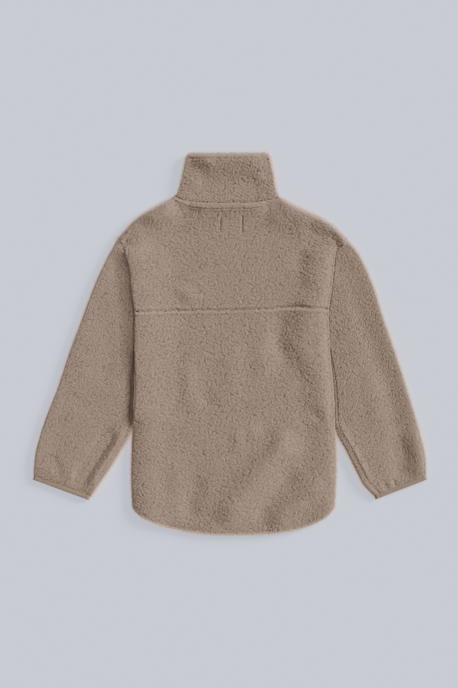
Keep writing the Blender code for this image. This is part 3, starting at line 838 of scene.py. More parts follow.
    def right(self, y: Array | float) -> Array:
        """The body's right edge."""
        return curve(self.edges, 2, y)

    def edge(self, side: Side, y: Array | float) -> Array:
        """The body's edge on one side."""
        return self.left(y) if side is Side.LEFT else self.right(y)

    def zip_line(self, y: Array | float) -> Array:
        """The x of the line down the middle of the front, where the zip is."""
        return curve(self.centre_front, 1, y)

    def hem(self, x: Array | float) -> Array:
        """The back hem's y."""
        left, right = self.left(self.side_y), self.right(self.side_y)
        place = np.clip((2 * x - left - right) / (right - left), -1, 1)
        across = np.abs(place)
        corner = self.hem_corner * across**self.hem_corner_power
        lean = self.hem_lean * np.sin(np.pi * np.clip(place, 0, 1) ** 2)
        return self.hem_y + self.hem_rise * across**self.hem_power + corner - lean

    def front_hem(self, x: Array | float) -> Array:
        """The fronts' hem, inside the back's."""
        return self.hem(x) + self.front_hem_up

    def across_neck(self, x: Array | float) -> Array:
        """How far a place is from the neck's middle, as a share of half its width."""
        return np.clip(np.abs(2 * x - self.neck_left - self.neck_right) / (self.neck_right - self.neck_left), 0, 1)

    def neckline(self, x: Array | float, drop: float = 0.0) -> Array:
        """The neck seam's y, lower in the middle by the drop."""
        across = self.across_neck(x)
        return self.neck_y + self.neck_rise * across**self.neck_power - drop * (1 - across**2)

    def yoke_seam(self, x: Array | float) -> Array:
        """The yoke seam's y."""
        return curve(self.yoke_line, 1, x)

    def upper_edge(self, x: Array, drop: float = 0.0) -> Array:
        """The y of a shoulder, the neckline and the other shoulder.

        Args:
            x: places across the body.
            drop: how much lower the neckline is in its middle.

        Returns:
            The outline's y.
        """
        left = curve(tuple((row[2], row[1]) for row in self.shoulders), 1, x)
        right = curve(tuple((row[3], row[1]) for row in reversed(self.shoulders)), 1, x)
        neck = self.neckline(x, drop)
        return np.where(x < self.neck_left, left, np.where(x > self.neck_right, right, neck))

    def height(self, x: Array, y: Array) -> Array:
        """The upper layer's height away from its seams."""
        beside, from_left, from_right = self.beside_sleeve(y), x - self.left(y), self.right(y) - x
        left = beside * self.sewn_left.rise(from_left) + (1 - beside) * self.free_left.rise(from_left)
        right = beside * self.sewn_right.rise(from_right) + (1 - beside) * self.free_right.rise(from_right)
        past_neck = np.maximum(self.neck_left - x, x - self.neck_right)
        shoulder = self.shoulder.rise(self.upper_edge(x) - y) * ease(past_neck, *self.shoulder_in)
        sides, upper = np.maximum(left, right), ease(y, *self.shoulder_low)
        rolls = np.maximum(sides, shoulder) * upper + sides * (1 - upper)
        return self.top + rolls + creased(self.creases, x, y)

    def beside_sleeve(self, y: Array) -> Array:
        """1 where a sleeve lies beside the body, and 0 past the armhole and the underarm."""
        return ease(y, *self.sleeve_low) * (1 - ease(y, *self.sleeve_high))

    def against_sleeve(self, x: Array, y: Array) -> Array:
        """1 where cloth lies against the next piece at an armhole or below it, and 0 away from there."""
        away = np.minimum(np.abs(x - self.left(y)), np.abs(self.right(y) - x))
        beside = ease(y, *self.sleeve_low) * (1 - ease(y, *self.shut_high))
        return beside * (1 - ease(away, *self.shut_in))

    def side_fold(self, side: Side, y: Array) -> tuple[Array, Array]:
        """How far the cloth folds down at one of the body's sides, and how tightly.

        Args:
            side: which of the body's sides.
            y: places along it.

        Returns:
            The share of the height that the fold takes, which is less where a sleeve is sewn on,
            and the fold's radius.
        """
        folds = {Side.LEFT: (self.left_fold, self.left_radius), Side.RIGHT: (self.right_fold, self.right_radius)}
        sewn, radius = folds[side]
        by_sleeve = ease(y, *(self.underarm_y + away for away in self.armhole))
        beside = self.beside_sleeve(y)
        return 1 - (1 - sewn) * by_sleeve, self.free_radius + beside * (radius - self.free_radius)


@dataclass
class Panel:
    """A panel of the body, as a grid of points between its four edges."""

    form: BodyForm
    left: Callable[[Array], Array]
    right: Callable[[Array], Array]
    low: Callable[[Array], Array]
    high: Callable[[Array], Array]
    step: float
    left_folds: bool = True
    right_folds: bool = True
    shoulders: bool = False
    turn: float = 0.0160

    def spread(self, length: float) -> Array:
        """Distances over the cloth from one edge to the other, closer together near both."""
        return graded(NEAR_EDGE, length, max(3, int(length / self.step)))

    def strip(self, away: Array, folds: Array, radius: Array | float) -> tuple[Array, Array, Array]:
        """Near an edge, where the cloth is at a distance over it.

        Args:
            away: the distance from the edge, over the cloth.
            folds: 1 where the cloth folds round the edge and 0 where it is sewn.
            radius: the fold's radius.

        Returns:
            The distance from the edge as seen from above, the share of the height there, and how
            far in the strip's end is seen.
        """
        angle = np.clip(away / radius, 0, np.pi / 2)
        folded = radius * (1 - np.cos(angle)) + np.clip(away - radius * np.pi / 2, 0, None)
        seen = radius + self.turn - radius * np.pi / 2
        return folds * folded + (1 - folds) * away * seen / self.turn, folds * np.sin(angle) + (1 - folds), seen

    def between(self, away: Array, full: float, ends: Pair, strips: Pair, reach: Pair) -> Array:
        """A coordinate that follows one edge's strip, then runs evenly, then follows the other's.

        Args:
            away: the distance over the cloth from the first edge.
            full: the whole distance.
            ends: the coordinates of the first edge and of the last.
            strips: how far in from each edge a point is, within that edge's strip.
            reach: how far in each strip ends.

        Returns:
            The coordinate of each point.
        """
        part = np.clip((away - self.turn) / (full - 2 * self.turn), 0, 1)
        start, stop = ends[0] + reach[0], ends[1] - reach[1]
        result = np.where(away < self.turn, ends[0] + strips[0], start + part * (stop - start))
        return np.where(full - away < self.turn, ends[1] - strips[1], result)

    def lay(self) -> tuple[Array, Array, Array]:
        """Lays the grid out.

        Returns:
            The x and y of each point, and the share of the layer's height that is left there.
        """
        form = self.form
        middle = np.array(0.5 * (form.side_y + form.yoke_side_y))
        width = float(self.right(middle) - self.left(middle)) + (np.pi - 2) * form.foot
        middle_x = 0.5 * (self.left(middle) + self.right(middle))
        length = float(self.high(middle_x) - self.low(middle_x))
        across, along = np.meshgrid(self.spread(width), self.spread(length))
        x = self.left(middle) + across / width * (self.right(middle) - self.left(middle))
        y = self.low(x) + along / length * (self.high(x) - self.low(x))
        share = np.ones(x.shape)
        for _ in range(5):  # the folds depend on y and the ends on x, so the grid settles in a few rounds
            strips = []
            for side, away in ((Side.LEFT, across), (Side.RIGHT, width - across)):
                fold, radius = form.side_fold(side, y)
                folds = self.left_folds if side is Side.LEFT else self.right_folds
                strips.append(self.strip(away, fold * folds, radius))
            seen, shares, ends = zip(*strips)
            x = self.between(across, width, (self.left(y), self.right(y)), seen, ends)
            shoulder = self._shoulder(x) if self.shoulders else 0 * x
            lean = 1 + shoulder * (self._lean(x) - 1)
            seen_high, share_high, high_end = self.strip(length - along, shoulder, form.foot)
            ends = self.low(x) + form.gap / 2, self.high(x) - form.gap / 2
            y = self.between(along, length, ends, (along, lean * seen_high), (self.turn, lean * high_end))
            share = shares[0] * shares[1] * share_high
        return x, y, share

    def _shoulder(self, x: Array) -> Array:
        """1 along the shoulders and 0 along the neckline between them."""
        beyond = np.maximum(self.form.neck_left - x, x - self.form.neck_right)
        return ease(beyond, -0.001, 0.007)

    def _lean(self, x: Array) -> Array:
        """How much longer the fold is along y than square to a sloping shoulder."""
        small, steepest = 0.001, 1.5
        slope = (self.high(x + small) - self.high(x - small)) / (2 * small)
        return np.hypot(1, np.clip(slope, -steepest, steepest))


@dataclass
class Back:
    """The two panels that show: the yoke and the lower back."""

    form: BodyForm
    finish: Material
    step: float = 0.00165
    seam_lip: float = 0.0007
    seam_wave: float = 0.0007
    hem_dip: float = 0.0026
    hem_width: float = 0.016
    neck_dip: float = 0.0010
    neck_width: float = 0.005
    pucker: Crease = Crease(((0.108, 0.0805), (0.145, 0.0838), (0.180, 0.0800)), -0.0034, 0.0042, 0.4)
    band_height: float = 0.0018
    band_width: float = 0.0106
    band_end: float = 0.0136
    band_lip: float = 0.0008
    label_stitches: tuple[Crease, ...] = (
        Crease(((-0.0210, 0.282), (-0.0215, 0.244)), -0.0019, 0.0016, 0.08),
        Crease(((0.0275, 0.284), (0.0270, 0.242)), -0.0020, 0.0016, 0.08),
    )

    def seam_y(self, x: Array) -> Array:
        """The yoke seam, with the small waves that sewing leaves in it."""
        return self.form.yoke_seam(x) + self.seam_wave * drift(x, 0 * x, 0.018, 41)

    def dips(self, x: Array, y: Array) -> Array:
        """How far the seams draw the cloth down."""
        away = np.abs(y - self.seam_y(x))
        seam = self.form.seam_dip * near_edge(away, self.form.seam_width)
        return seam - self.seam_lip * groove(away, 0.0062, 0.0028) - self.pucker.rise(x, y)

    def shell(self, name: str, grid: tuple[Array, Array, Array], height: Array, seed: int, first: Edge) -> Shell:
        """A panel's shell, which comes down to the fronts along its folded edges.

        Args:
            name: the panel's name.
            grid: its points' x and y, and the share of the height that is left at each.
            height: the upper layer's height there.
            seed: which pile it has.
            first: how its lowest row ends.

        Returns:
            The shell, not yet built.
        """
        form, (x, y, share) = self.form, grid
        points = np.stack([x, y, form.foot + (height - form.foot) * share], axis=-1)
        return Shell(name, points, form.wall, pile_seed=seed, first=first, shut=form.against_sleeve(x, y))

    def lower(self) -> Piece:
        """The panel from the yoke seam to the hem."""
        form = self.form
        panel = Panel(form, form.left, form.right, form.hem, self.seam_y, self.step)
        x, y, share = panel.lay()
        height = form.height(x, y) - self.dips(x, y) - self.hem_dip * near_edge(y - form.hem(x), self.hem_width)
        shell = self.shell("lower_back", (x, y, share), height, 1, Edge.FREE)
        piece = shell.build(self.finish)
        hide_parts("back_lower")
        return piece

    def yoke(self) -> Piece:
        """The panel from the yoke seam to the shoulders and the neck."""
        form = self.form
        panel = Panel(form, form.left, form.right, self.seam_y, form.upper_edge, self.step, shoulders=True)
        x, y, share = panel.lay()
        height = form.height(x, y) - self.dips(x, y) + creased(self.label_stitches, x, y)
        below = form.neckline(x) - y
        at_neck = 1 - ease(form.across_neck(x), 0.93, 1.0)
        down = below / (1 - 0.45 * form.across_neck(x) ** 4)
        band = np.clip(down / self.band_width, 0, 1) * (1 - ease(down, self.band_width, self.band_end))
        band = self.band_height * band + self.band_lip * groove(down, 0.0162, 0.0020)
        height = height + at_neck * (band - self.neck_dip * near_edge(below, self.neck_width))
        shell = self.shell("back_yoke_panel", (x, y, share), height, 2, Edge.SEWN)
        piece = shell.build(self.finish)
        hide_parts("back_yoke")
        return piece


@dataclass
class Fronts:
    """The two fronts, which lie on the surface, and the opening for the zip between them."""

    form: BodyForm
    finish: Material
    step: float = 0.0030

    def zip_edge(self, side: Side) -> Callable[[Array], Array]:
        """The x of a front's zip edge."""
        return lambda y: self.form.zip_line(y) + side.value * self.form.zip_opening / 2

    def top(self, x: Array) -> Array:
        """The fronts' upper outline, whose neckline is lower than the back's."""
        return self.form.upper_edge(x, self.form.front_neck_drop)

    def build(self, side: Side) -> Piece:
        """One front."""
        form = self.form
        on_left, zip_edge = side is Side.LEFT, self.zip_edge(side)
        edges = (form.left, zip_edge) if on_left else (zip_edge, form.right)
        panel = Panel(form, *edges, form.front_hem, self.top, self.step, on_left, not on_left, shoulders=True)
        x, y, share = panel.lay()
        points = np.stack([x, y, ON_FLOOR + (form.foot - form.gap - ON_FLOOR) * (1 - share)], axis=-1)
        pile = Pile(tuft=0.0075, reach=0.0066, depth=0.0016)
        looks = {"pile": pile, "pile_seed": 5 + side.value, "coarse": 3}
        shell = Shell(side.word + "_front", points, form.wall, turned=True, **looks)
        piece = shell.build(self.finish)
        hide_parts("front_" + side.word)
        return piece


# --- The collar ---


class Stretch(IntEnum):
    """The stretches round the collar, in order."""

    FRONT_RIGHT = 0
    RIGHT_TURN = 1
    BACK = 2
    LEFT_TURN = 3
    FRONT_LEFT = 4


@dataclass
class Collar:
    """The tall collar: from one front edge, round under, over the back and round to the other."""

    form: BodyForm
    finish: Material
    top_round: float = 0.0100
    top_power: float = 24.0
    front_drop: float = 0.0400
    height: float = 0.0140
    step: float = 0.00150
    near: tuple[float, ...] = (0.0, 0.0004, 0.0010, 0.0018, 0.0028)
    back_length: float = 0.20
    front_length: float = 0.095
    edge_dip: float = 0.0016
    neck_width: float = 0.006
    top_width: float = 0.010
    top_stitch: float = 0.0140
    side_turn: float = 0.0042
    side_roll: Roll = Roll(0.0006, 0.0016, 0.010, 0.052)
    top_roll: Roll = Roll(0.0010, 0.0094, 0.012, 0.070)
    sides: Table = (  # y, x on the left, x on the right
        (0.3250, -0.1235, 0.1080),
        (0.3330, -0.1162, 0.1036),
        (0.3421, -0.1129, 0.1010),
        (0.3685, -0.1060, 0.0964),
        (0.3949, -0.1005, 0.0906),
        (0.4215, -0.0945, 0.0861),
    )
    creases: tuple[Crease, ...] = (
        Crease(((-0.098, 0.400), (-0.074, 0.388), (-0.048, 0.366)), -0.0016, 0.016, 0.3),
        Crease(((-0.104, 0.376), (-0.080, 0.362), (-0.060, 0.346)), 0.0016, 0.014, 0.4),
        Crease(((-0.060, 0.404), (-0.034, 0.392)), 0.0020, 0.010, 0.4),
        Crease(((0.060, 0.380), (0.072, 0.350)), 0.0024, 0.015, 0.4),
    )

    def top(self, at_neck: Array, drop: Array) -> Array:
        """The y of the collar's top edge, lower in the middle by the drop."""
        across = self.form.across_neck(at_neck)
        return self.form.collar_top - self.top_round * across**self.top_power - drop * (1 - across**2)

    def columns(self) -> Pair:
        """Round the collar: which stretch each column is in, and its place or its turn there."""
        form, radius = self.form, self.height / 2
        turns = np.linspace(-np.pi / 2, np.pi / 2, int(radius * np.pi / self.step) + 1)
        back, front = int(self.back_length / self.step), int(self.front_length / (2 * self.step))
        reach = (form.centre_front[-1][1] - form.neck_left) / (form.neck_right - form.neck_left)
        parts = {
            Stretch.FRONT_RIGHT: np.linspace(reach, 1, front)[:-1],
            Stretch.RIGHT_TURN: turns,
            Stretch.BACK: np.linspace(1, 0, back)[1:-1],
            Stretch.LEFT_TURN: turns[::-1],
            Stretch.FRONT_LEFT: np.linspace(0, reach, front)[1:],
        }
        stretches = np.concatenate([np.full(len(places), part) for part, places in parts.items()])
        return stretches, np.concatenate(list(parts.values()))

    def across(self, stretches: Array, places: Array, side_y: Array) -> tuple[Array, Array, Array]:
        """Where the collar's points are across it.

        Args:
            stretches: which stretch each column is in.
            places: its place there, or its turn.
            side_y: the y of each row at the collar's sides.

        Returns:
            Each point's x, and each row's left and right sides.
        """
        left, right = curve(self.sides, 1, side_y), curve(self.sides, 2, side_y)
        turn, half, reach = self.side_turn, self.form.zip_opening / 2, places[-1]
        centre, start, stop = self.form.zip_line(side_y), left + turn, right - turn
        x = start + places * (stop - start)
        from_zip = centre + half + (places - reach) / (1 - reach) * (stop - centre - half)
        x = np.where(stretches == Stretch.FRONT_RIGHT, from_zip, x)
        to_zip = start + places / reach * (centre - half - start)
        x = np.where(stretches == Stretch.FRONT_LEFT, to_zip, x)
        x = np.where(stretches == Stretch.LEFT_TURN, start - turn * np.cos(places), x)
        x = np.where(stretches == Stretch.RIGHT_TURN, stop + turn * np.cos(places), x)
        return x, left, right

    def raised(self, x: Array, y: Array, inwards: Array, above: Array, below: Array) -> Array:
        """The back's height.

        Args:
            x: places across the collar.
            y: places along it.
            inwards: how far in from its nearer side they are.
            above: how far over the neck seam.
            below: how far below the top edge.

        Returns:
            The height of each place.
        """
        dip = self.edge_dip * (near_edge(above, self.neck_width) + 0.6 * near_edge(below, self.top_width))
        stitch = 0.0006 * (1 + 0.8 * ease(-x, 0.0, 0.06)) * groove(below, self.top_stitch, 0.0018)
        at_top = self.top_roll.rise(below) * (0.35 + 0.65 * ease(inwards, 0.0, 0.045))
        rolled = np.maximum(self.side_roll.rise(inwards), at_top)
        return self.height - dip - stitch + rolled + creased(self.creases, x, y)

    def build(self) -> Piece:
        """The whole collar."""
        form = self.form
        stretches, places = self.columns()
        length = form.collar_top - form.neck_y
        share = graded(np.array(self.near) / length, 1, int(length / self.step))[:, None]
        side_y = self.sides[0][0] + share * (form.collar_top - self.top_round - self.sides[0][0])
        x, left, right = self.across(stretches, places, side_y)
        in_front = (stretches == Stretch.FRONT_RIGHT) | (stretches == Stretch.FRONT_LEFT)
        at_back = stretches == Stretch.BACK
        front = np.where(in_front, 1.0, np.where(at_back, 0.0, np.clip(-np.sin(places), 0, 1)))
        at_neck = form.neck_left + (x - left) / (right - left) * (form.neck_right - form.neck_left)
        base = form.neckline(at_neck, front * form.front_neck_drop) + form.gap / 2
        top = self.top(at_neck, front * self.front_drop)
        y = base + share * (top - base)
        z_back = self.raised(x, y, np.minimum(x - left, right - x), y - base, top - y)
        over = np.flatnonzero(at_back)
        level = np.where(stretches < Stretch.BACK, z_back[:, over[:1]], z_back[:, over[-1:]])
        turned = level / 2 * (1 + np.sin(places))
        z = np.where(at_back, z_back, np.where(in_front, ON_FLOOR, turned))
        looks = {"pile_seed": 9, "coarse": 3, "last": Edge.FREE}
        shell = Shell("stand_collar", np.stack([x, y, z], axis=-1), form.wall, turned=True, **looks)
        piece = shell.build(self.finish)
        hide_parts("collar")
        return piece


# --- The sleeves ---


class Zone(IntEnum):
    """The stretches round a sleeve, in order from one side of its seam to the other."""

    TOP = 0
    OUTER_TURN = 1
    UNDER = 2
    INNER_TURN = 3
    TO_SEAM = 4


@dataclass
class SleeveForm:
    """A sleeve's sections, from the armhole to the cuff, and how high its cloth lies."""

    side: Side
    body: BodyForm
    armhole_gap: float = -0.0001
    armhole_ease: float = 0.35
    left_valley: float = 0.0010
    right_valley: float = 0.0016
    valley_width: float = 0.050
    swell: float = 0.040
    climb: float = 0.020
    stand: float = 0.0076
    stand_reach: float = 0.033
    stand_power: float = 1.6
    stand_fade: float = 0.070
    outer_turn: float = 0.0052
    body_turn: float = 0.0022
    seam_in: float = 0.0130
    cuff_dip: float = 0.0022
    cuff_width: float = 0.018
    armhole_width: float = 0.0060
    left_rows: Table = (  # along, outer x, y, inner x, y, outer height, inner height
        (0.00, -0.2477, 0.2332, -0.2124, -0.0200, 0.0156, 0.0136),
        (0.10, -0.2719, 0.1880, -0.2118, -0.0500, 0.0154, 0.0136),
        (0.22, -0.2959, 0.1364, -0.2105, -0.0860, 0.0152, 0.0136),
        (0.40, -0.3258, 0.0572, -0.2122, -0.1350, 0.0150, 0.0136),
        (0.58, -0.3553, -0.0220, -0.2155, -0.1900, 0.0148, 0.0138),
        (0.75, -0.3817, -0.1012, -0.2412, -0.2360, 0.0148, 0.0145),
        (0.90, -0.4182, -0.2000, -0.2720, -0.2860, 0.0150, 0.0145),
        (0.95, -0.4293, -0.2430, -0.2890, -0.3110, 0.0150, 0.0145),
        (1.00, -0.4332, -0.2882, -0.3052, -0.3352, 0.0142, 0.0142),
    )
    right_rows: Table = (
        (0.00, 0.2558, 0.2332, 0.2215, -0.0200, 0.0148, 0.0118),
        (0.10, 0.2828, 0.2000, 0.2238, -0.0500, 0.0147, 0.0118),
        (0.22, 0.3103, 0.1420, 0.2275, -0.0860, 0.0146, 0.0118),
        (0.40, 0.3366, 0.0600, 0.2302, -0.1350, 0.0146, 0.0120),
        (0.58, 0.3649, -0.0200, 0.2319, -0.1900, 0.0146, 0.0126),
        (0.75, 0.3907, -0.1012, 0.2553, -0.2360, 0.0150, 0.0140),
        (0.90, 0.4198, -0.2000, 0.2803, -0.2860, 0.0150, 0.0145),
        (0.95, 0.4300, -0.2430, 0.2930, -0.3100, 0.0150, 0.0145),
        (1.00, 0.4330, -0.2882, 0.3150, -0.3335, 0.0142, 0.0142),
    )
    left_creases: tuple[Crease, ...] = (
        Crease(((-0.232, -0.190), (-0.274, -0.256), (-0.312, -0.318)), 0.0046, 0.0110, 0.2),
        Crease(((-0.256, -0.186), (-0.304, -0.256), (-0.344, -0.318)), -0.0056, 0.0180, 0.2),
        Crease(((-0.300, 0.060), (-0.330, -0.060), (-0.370, -0.180)), 0.0016, 0.022, 0.4),
        Crease(((-0.260, 0.020), (-0.280, -0.100)), -0.0014, 0.018, 0.4),
        Crease(((-0.390, -0.240), (-0.372, -0.300)), -0.0018, 0.010, 0.4),
        Crease(((-0.345, -0.262), (-0.352, -0.306)), 0.0012, 0.008, 0.4),
    )
    right_creases: tuple[Crease, ...] = (
        # two lines that run the whole length of the sleeve, a ridge and the trough beside it
        Crease(
            ((0.285, 0.190), (0.334, 0.040), (0.382, -0.090), (0.412, -0.215), (0.418, -0.290)), 0.0006, 0.016, 0.15
        ),
        Crease(
            ((0.250, 0.170), (0.292, 0.040), (0.340, -0.079), (0.374, -0.211), (0.380, -0.286)), -0.0018, 0.018, 0.2
        ),
        Crease(((0.398, -0.180), (0.412, -0.240), (0.420, -0.305)), 0.0034, 0.019, 0.3),
        Crease(((0.360, -0.200), (0.372, -0.250), (0.376, -0.305)), -0.0030, 0.020, 0.3),
        Crease(((0.236, -0.170), (0.276, -0.240), (0.310, -0.304)), 0.0022, 0.0070, 0.2),
        Crease(((0.300, -0.060), (0.335, -0.200)), 0.0016, 0.020, 0.4),
        Crease(((0.339, -0.300), (0.347, -0.326)), -0.0018, 0.0060, 0.4),
        Crease(((0.360, -0.296), (0.366, -0.318)), -0.0014, 0.0060, 0.4),
    )

    @property
    def rows(self) -> Table:
        """This side's sections."""
        return self.left_rows if self.side is Side.LEFT else self.right_rows

    @property
    def armhole_dip(self) -> float:
        """How far the armhole's seam draws the sleeve down: not at all where it climbs to the body's edge."""
        return 0.0 if self.side is Side.LEFT else 0.6 * self.body.seam_dip

    @property
    def creases(self) -> tuple[Crease, ...]:
        """This side's creases."""
        return self.left_creases if self.side is Side.LEFT else self.right_creases

    def place(self, along: Array, share: Array) -> tuple[Array, Array]:
        """x and y of a point along the sleeve and across from its outer fold to its inner one.

        Args:
            along: the share of the sleeve's length, from the armhole.
            share: the share of its width, from the outer fold.

        Returns:
            The point's x and y.
        """
        rows = self.rows
        outer_x, outer_y, inner_x, inner_y = (curve(rows, column, along) for column in range(1, 5))
        _, start_x, start_y, end_x, end_y, *_ = rows[0]
        seam_y = start_y + share * (end_y - start_y)
        edge = self.body.edge(self.side, seam_y) + self.side.value * self.armhole_gap
        bulge = edge - (start_x + share * (end_x - start_x))
        fade = near_edge(along, self.armhole_ease)
        return outer_x + share * (inner_x - outer_x) + bulge * fade, outer_y + share * (inner_y - outer_y)

    def valley(self, x: Array, y: Array) -> Array:
        """How far the sleeve sinks beside the body's edge, which stands over it on the left."""
        away = self.side.value * (x - self.body.edge(self.side, y))
        depth = self.left_valley if self.side is Side.LEFT else self.right_valley
        return depth * (1 - ease(away, 0.0, self.valley_width)) * self.body.beside_sleeve(y)

    def beside_body(self, x: Array, y: Array) -> Array:
        """How far the left sleeve climbs towards the body's edge that it is sewn to."""
        if self.side is Side.RIGHT:
            return 0 * x
        away = np.clip(self.body.left(y) - x, 0, None)
        sewn = ease(y, self.body.underarm_y - self.stand_fade, self.body.underarm_y) * self.body.beside_sleeve(y)
        return self.stand * np.clip(1 - away / self.stand_reach, 0, 1) ** self.stand_power * sewn

    def inner_turn(self, along: Array) -> Array:
        """How far the inner fold reaches across, which is little where it lies against the body."""
        beside = self.body.beside_sleeve(curve(self.rows, 4, along))
        return beside * self.body_turn + (1 - beside) * self.outer_turn

    def widths(self, along: Array) -> Array:
        """The sleeve's width at places along it."""
        outer_x, outer_y, inner_x, inner_y = (curve(self.rows, column, along) for column in range(1, 5))
        return np.hypot(inner_x - outer_x, inner_y - outer_y)


@dataclass
class Sleeve:
    """A sleeve's cloth: one panel round the arm, sewn to itself along the underarm."""

    form: SleeveForm
    finish: Material
    step: float = 0.00165
    under_step: float = 0.0060
    length: float = 0.56
    seam_groove: float = 0.0009
    calm_width: float = 0.012
    pile_depth: float = 0.0013

    def columns(self) -> tuple[Array, Array]:
        """Round the sleeve: which stretch each column is in, and its place there."""
        widest = float(self.form.widths(np.array(0.0)))
        radius = self.form.rows[0][5] / 2
        near = np.array([0.0, 0.0004, 0.0010, 0.0018]) / (widest - radius)
        turns = np.linspace(np.pi / 2, -np.pi / 2, int(radius * np.pi / self.step) + 1)
        parts = {
            Zone.TOP: np.concatenate([near, np.linspace(near[-1], 1, int(widest / self.step))[1:-1]]),
            Zone.OUTER_TURN: turns,
            Zone.UNDER: np.linspace(0, 1, int(widest / self.under_step))[1:-1],
            Zone.INNER_TURN: np.linspace(-np.pi / 2, np.pi / 2, len(turns)),
            Zone.TO_SEAM: np.array([0.25, 0.5, 0.75, 0.88, 0.95, 1.0]),
        }
        zones = np.concatenate([np.full(len(places), zone) for zone, places in parts.items()])
        return zones, np.concatenate(list(parts.values()))

    def points(self) -> Array:
        """The sleeve's outer face, as rows from the armhole and columns round it."""
        form = self.form
        along = graded(NEAR_EDGE / self.length, 1, int(self.length / self.step))[:, None]
        zones, places = self.columns()
        width = form.widths(along)
        from_armhole, from_cuff = along * self.length, (1 - along) * self.length
        dip = form.armhole_dip * near_edge(from_armhole, form.armhole_width)
        dip = dip + form.cuff_dip * near_edge(from_cuff, form.cuff_width)
        seam, outer, inner = form.seam_in - form.body.gap / 2, form.outer_turn, form.inner_turn(along)
        across = (width - seam) * (1 - places) + outer * places
        across = np.where(zones == Zone.OUTER_TURN, outer - outer * np.cos(places), across)
        across = np.where(zones == Zone.UNDER, outer + places * (width - inner - outer), across)
        across = np.where(zones == Zone.INNER_TURN, width - inner + inner * np.cos(places), across)
        across = np.where(zones == Zone.TO_SEAM, width - inner - places * (seam - inner), across)
        x, y = form.place(along, across / width)
        level = [self.top(along, edge + 0 * along, width, dip) / 2 for edge in (outer, width - inner)]
        low = np.where(zones == Zone.OUTER_TURN, level[0], level[1]) * (1 + np.sin(places))
        on_top = (zones == Zone.TOP) | (zones == Zone.TO_SEAM)
        z = np.where(on_top, self.top(along, across, width, dip), low)
        z = np.where(zones == Zone.UNDER, ON_FLOOR, z)
        return np.stack([x, y, z], axis=-1)

    def top(self, along: Array, across: Array, width: Array, dip: Array) -> Array:
        """The height of the sleeve's upper layer.

        Args:
            along: each point's share of the sleeve's length.
            across: how far it is from the outer fold.
            width: the sleeve's width there.
            dip: how far the armhole and the cuff draw the cloth down.

        Returns:
            The height of each point.
        """
        form = self.form
        x, y = form.place(along, across / width)
        top, outer, inner = form.body.top, form.outer_turn, form.inner_turn(along)
        near_outer = 1 - ease(across, outer, form.swell)
        near_inner = near_edge(width - across - inner, form.climb)
        z = top + (curve(form.rows, 5, along) - top) * near_outer + (curve(form.rows, 6, along) - top) * near_inner
        calm = ease(np.minimum(across, width - across), 0.0, self.calm_width)
        seam = self.seam_groove * groove(width - across, form.seam_in, 0.0030)
        z = z - dip + calm * creased(form.creases, x, y) - seam - form.valley(x, y) + form.beside_body(x, y)
        return np.maximum(z, 2 * form.body.wall + ON_FLOOR)

    def build(self) -> Piece:
        """The sleeve."""
        side, body, points = self.form.side, self.form.body, self.points()
        shut = body.against_sleeve(points[..., 0], points[..., 1])
        looks = {"pile": Pile(depth=self.pile_depth), "pile_seed": 20 + side.value, "shut": shut}
        shell = Shell(side.word + "_sleeve", points, body.wall, turned=side is Side.RIGHT, **looks)
        piece = shell.build(self.finish)
        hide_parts("sleeve_" + side.word)
        return piece


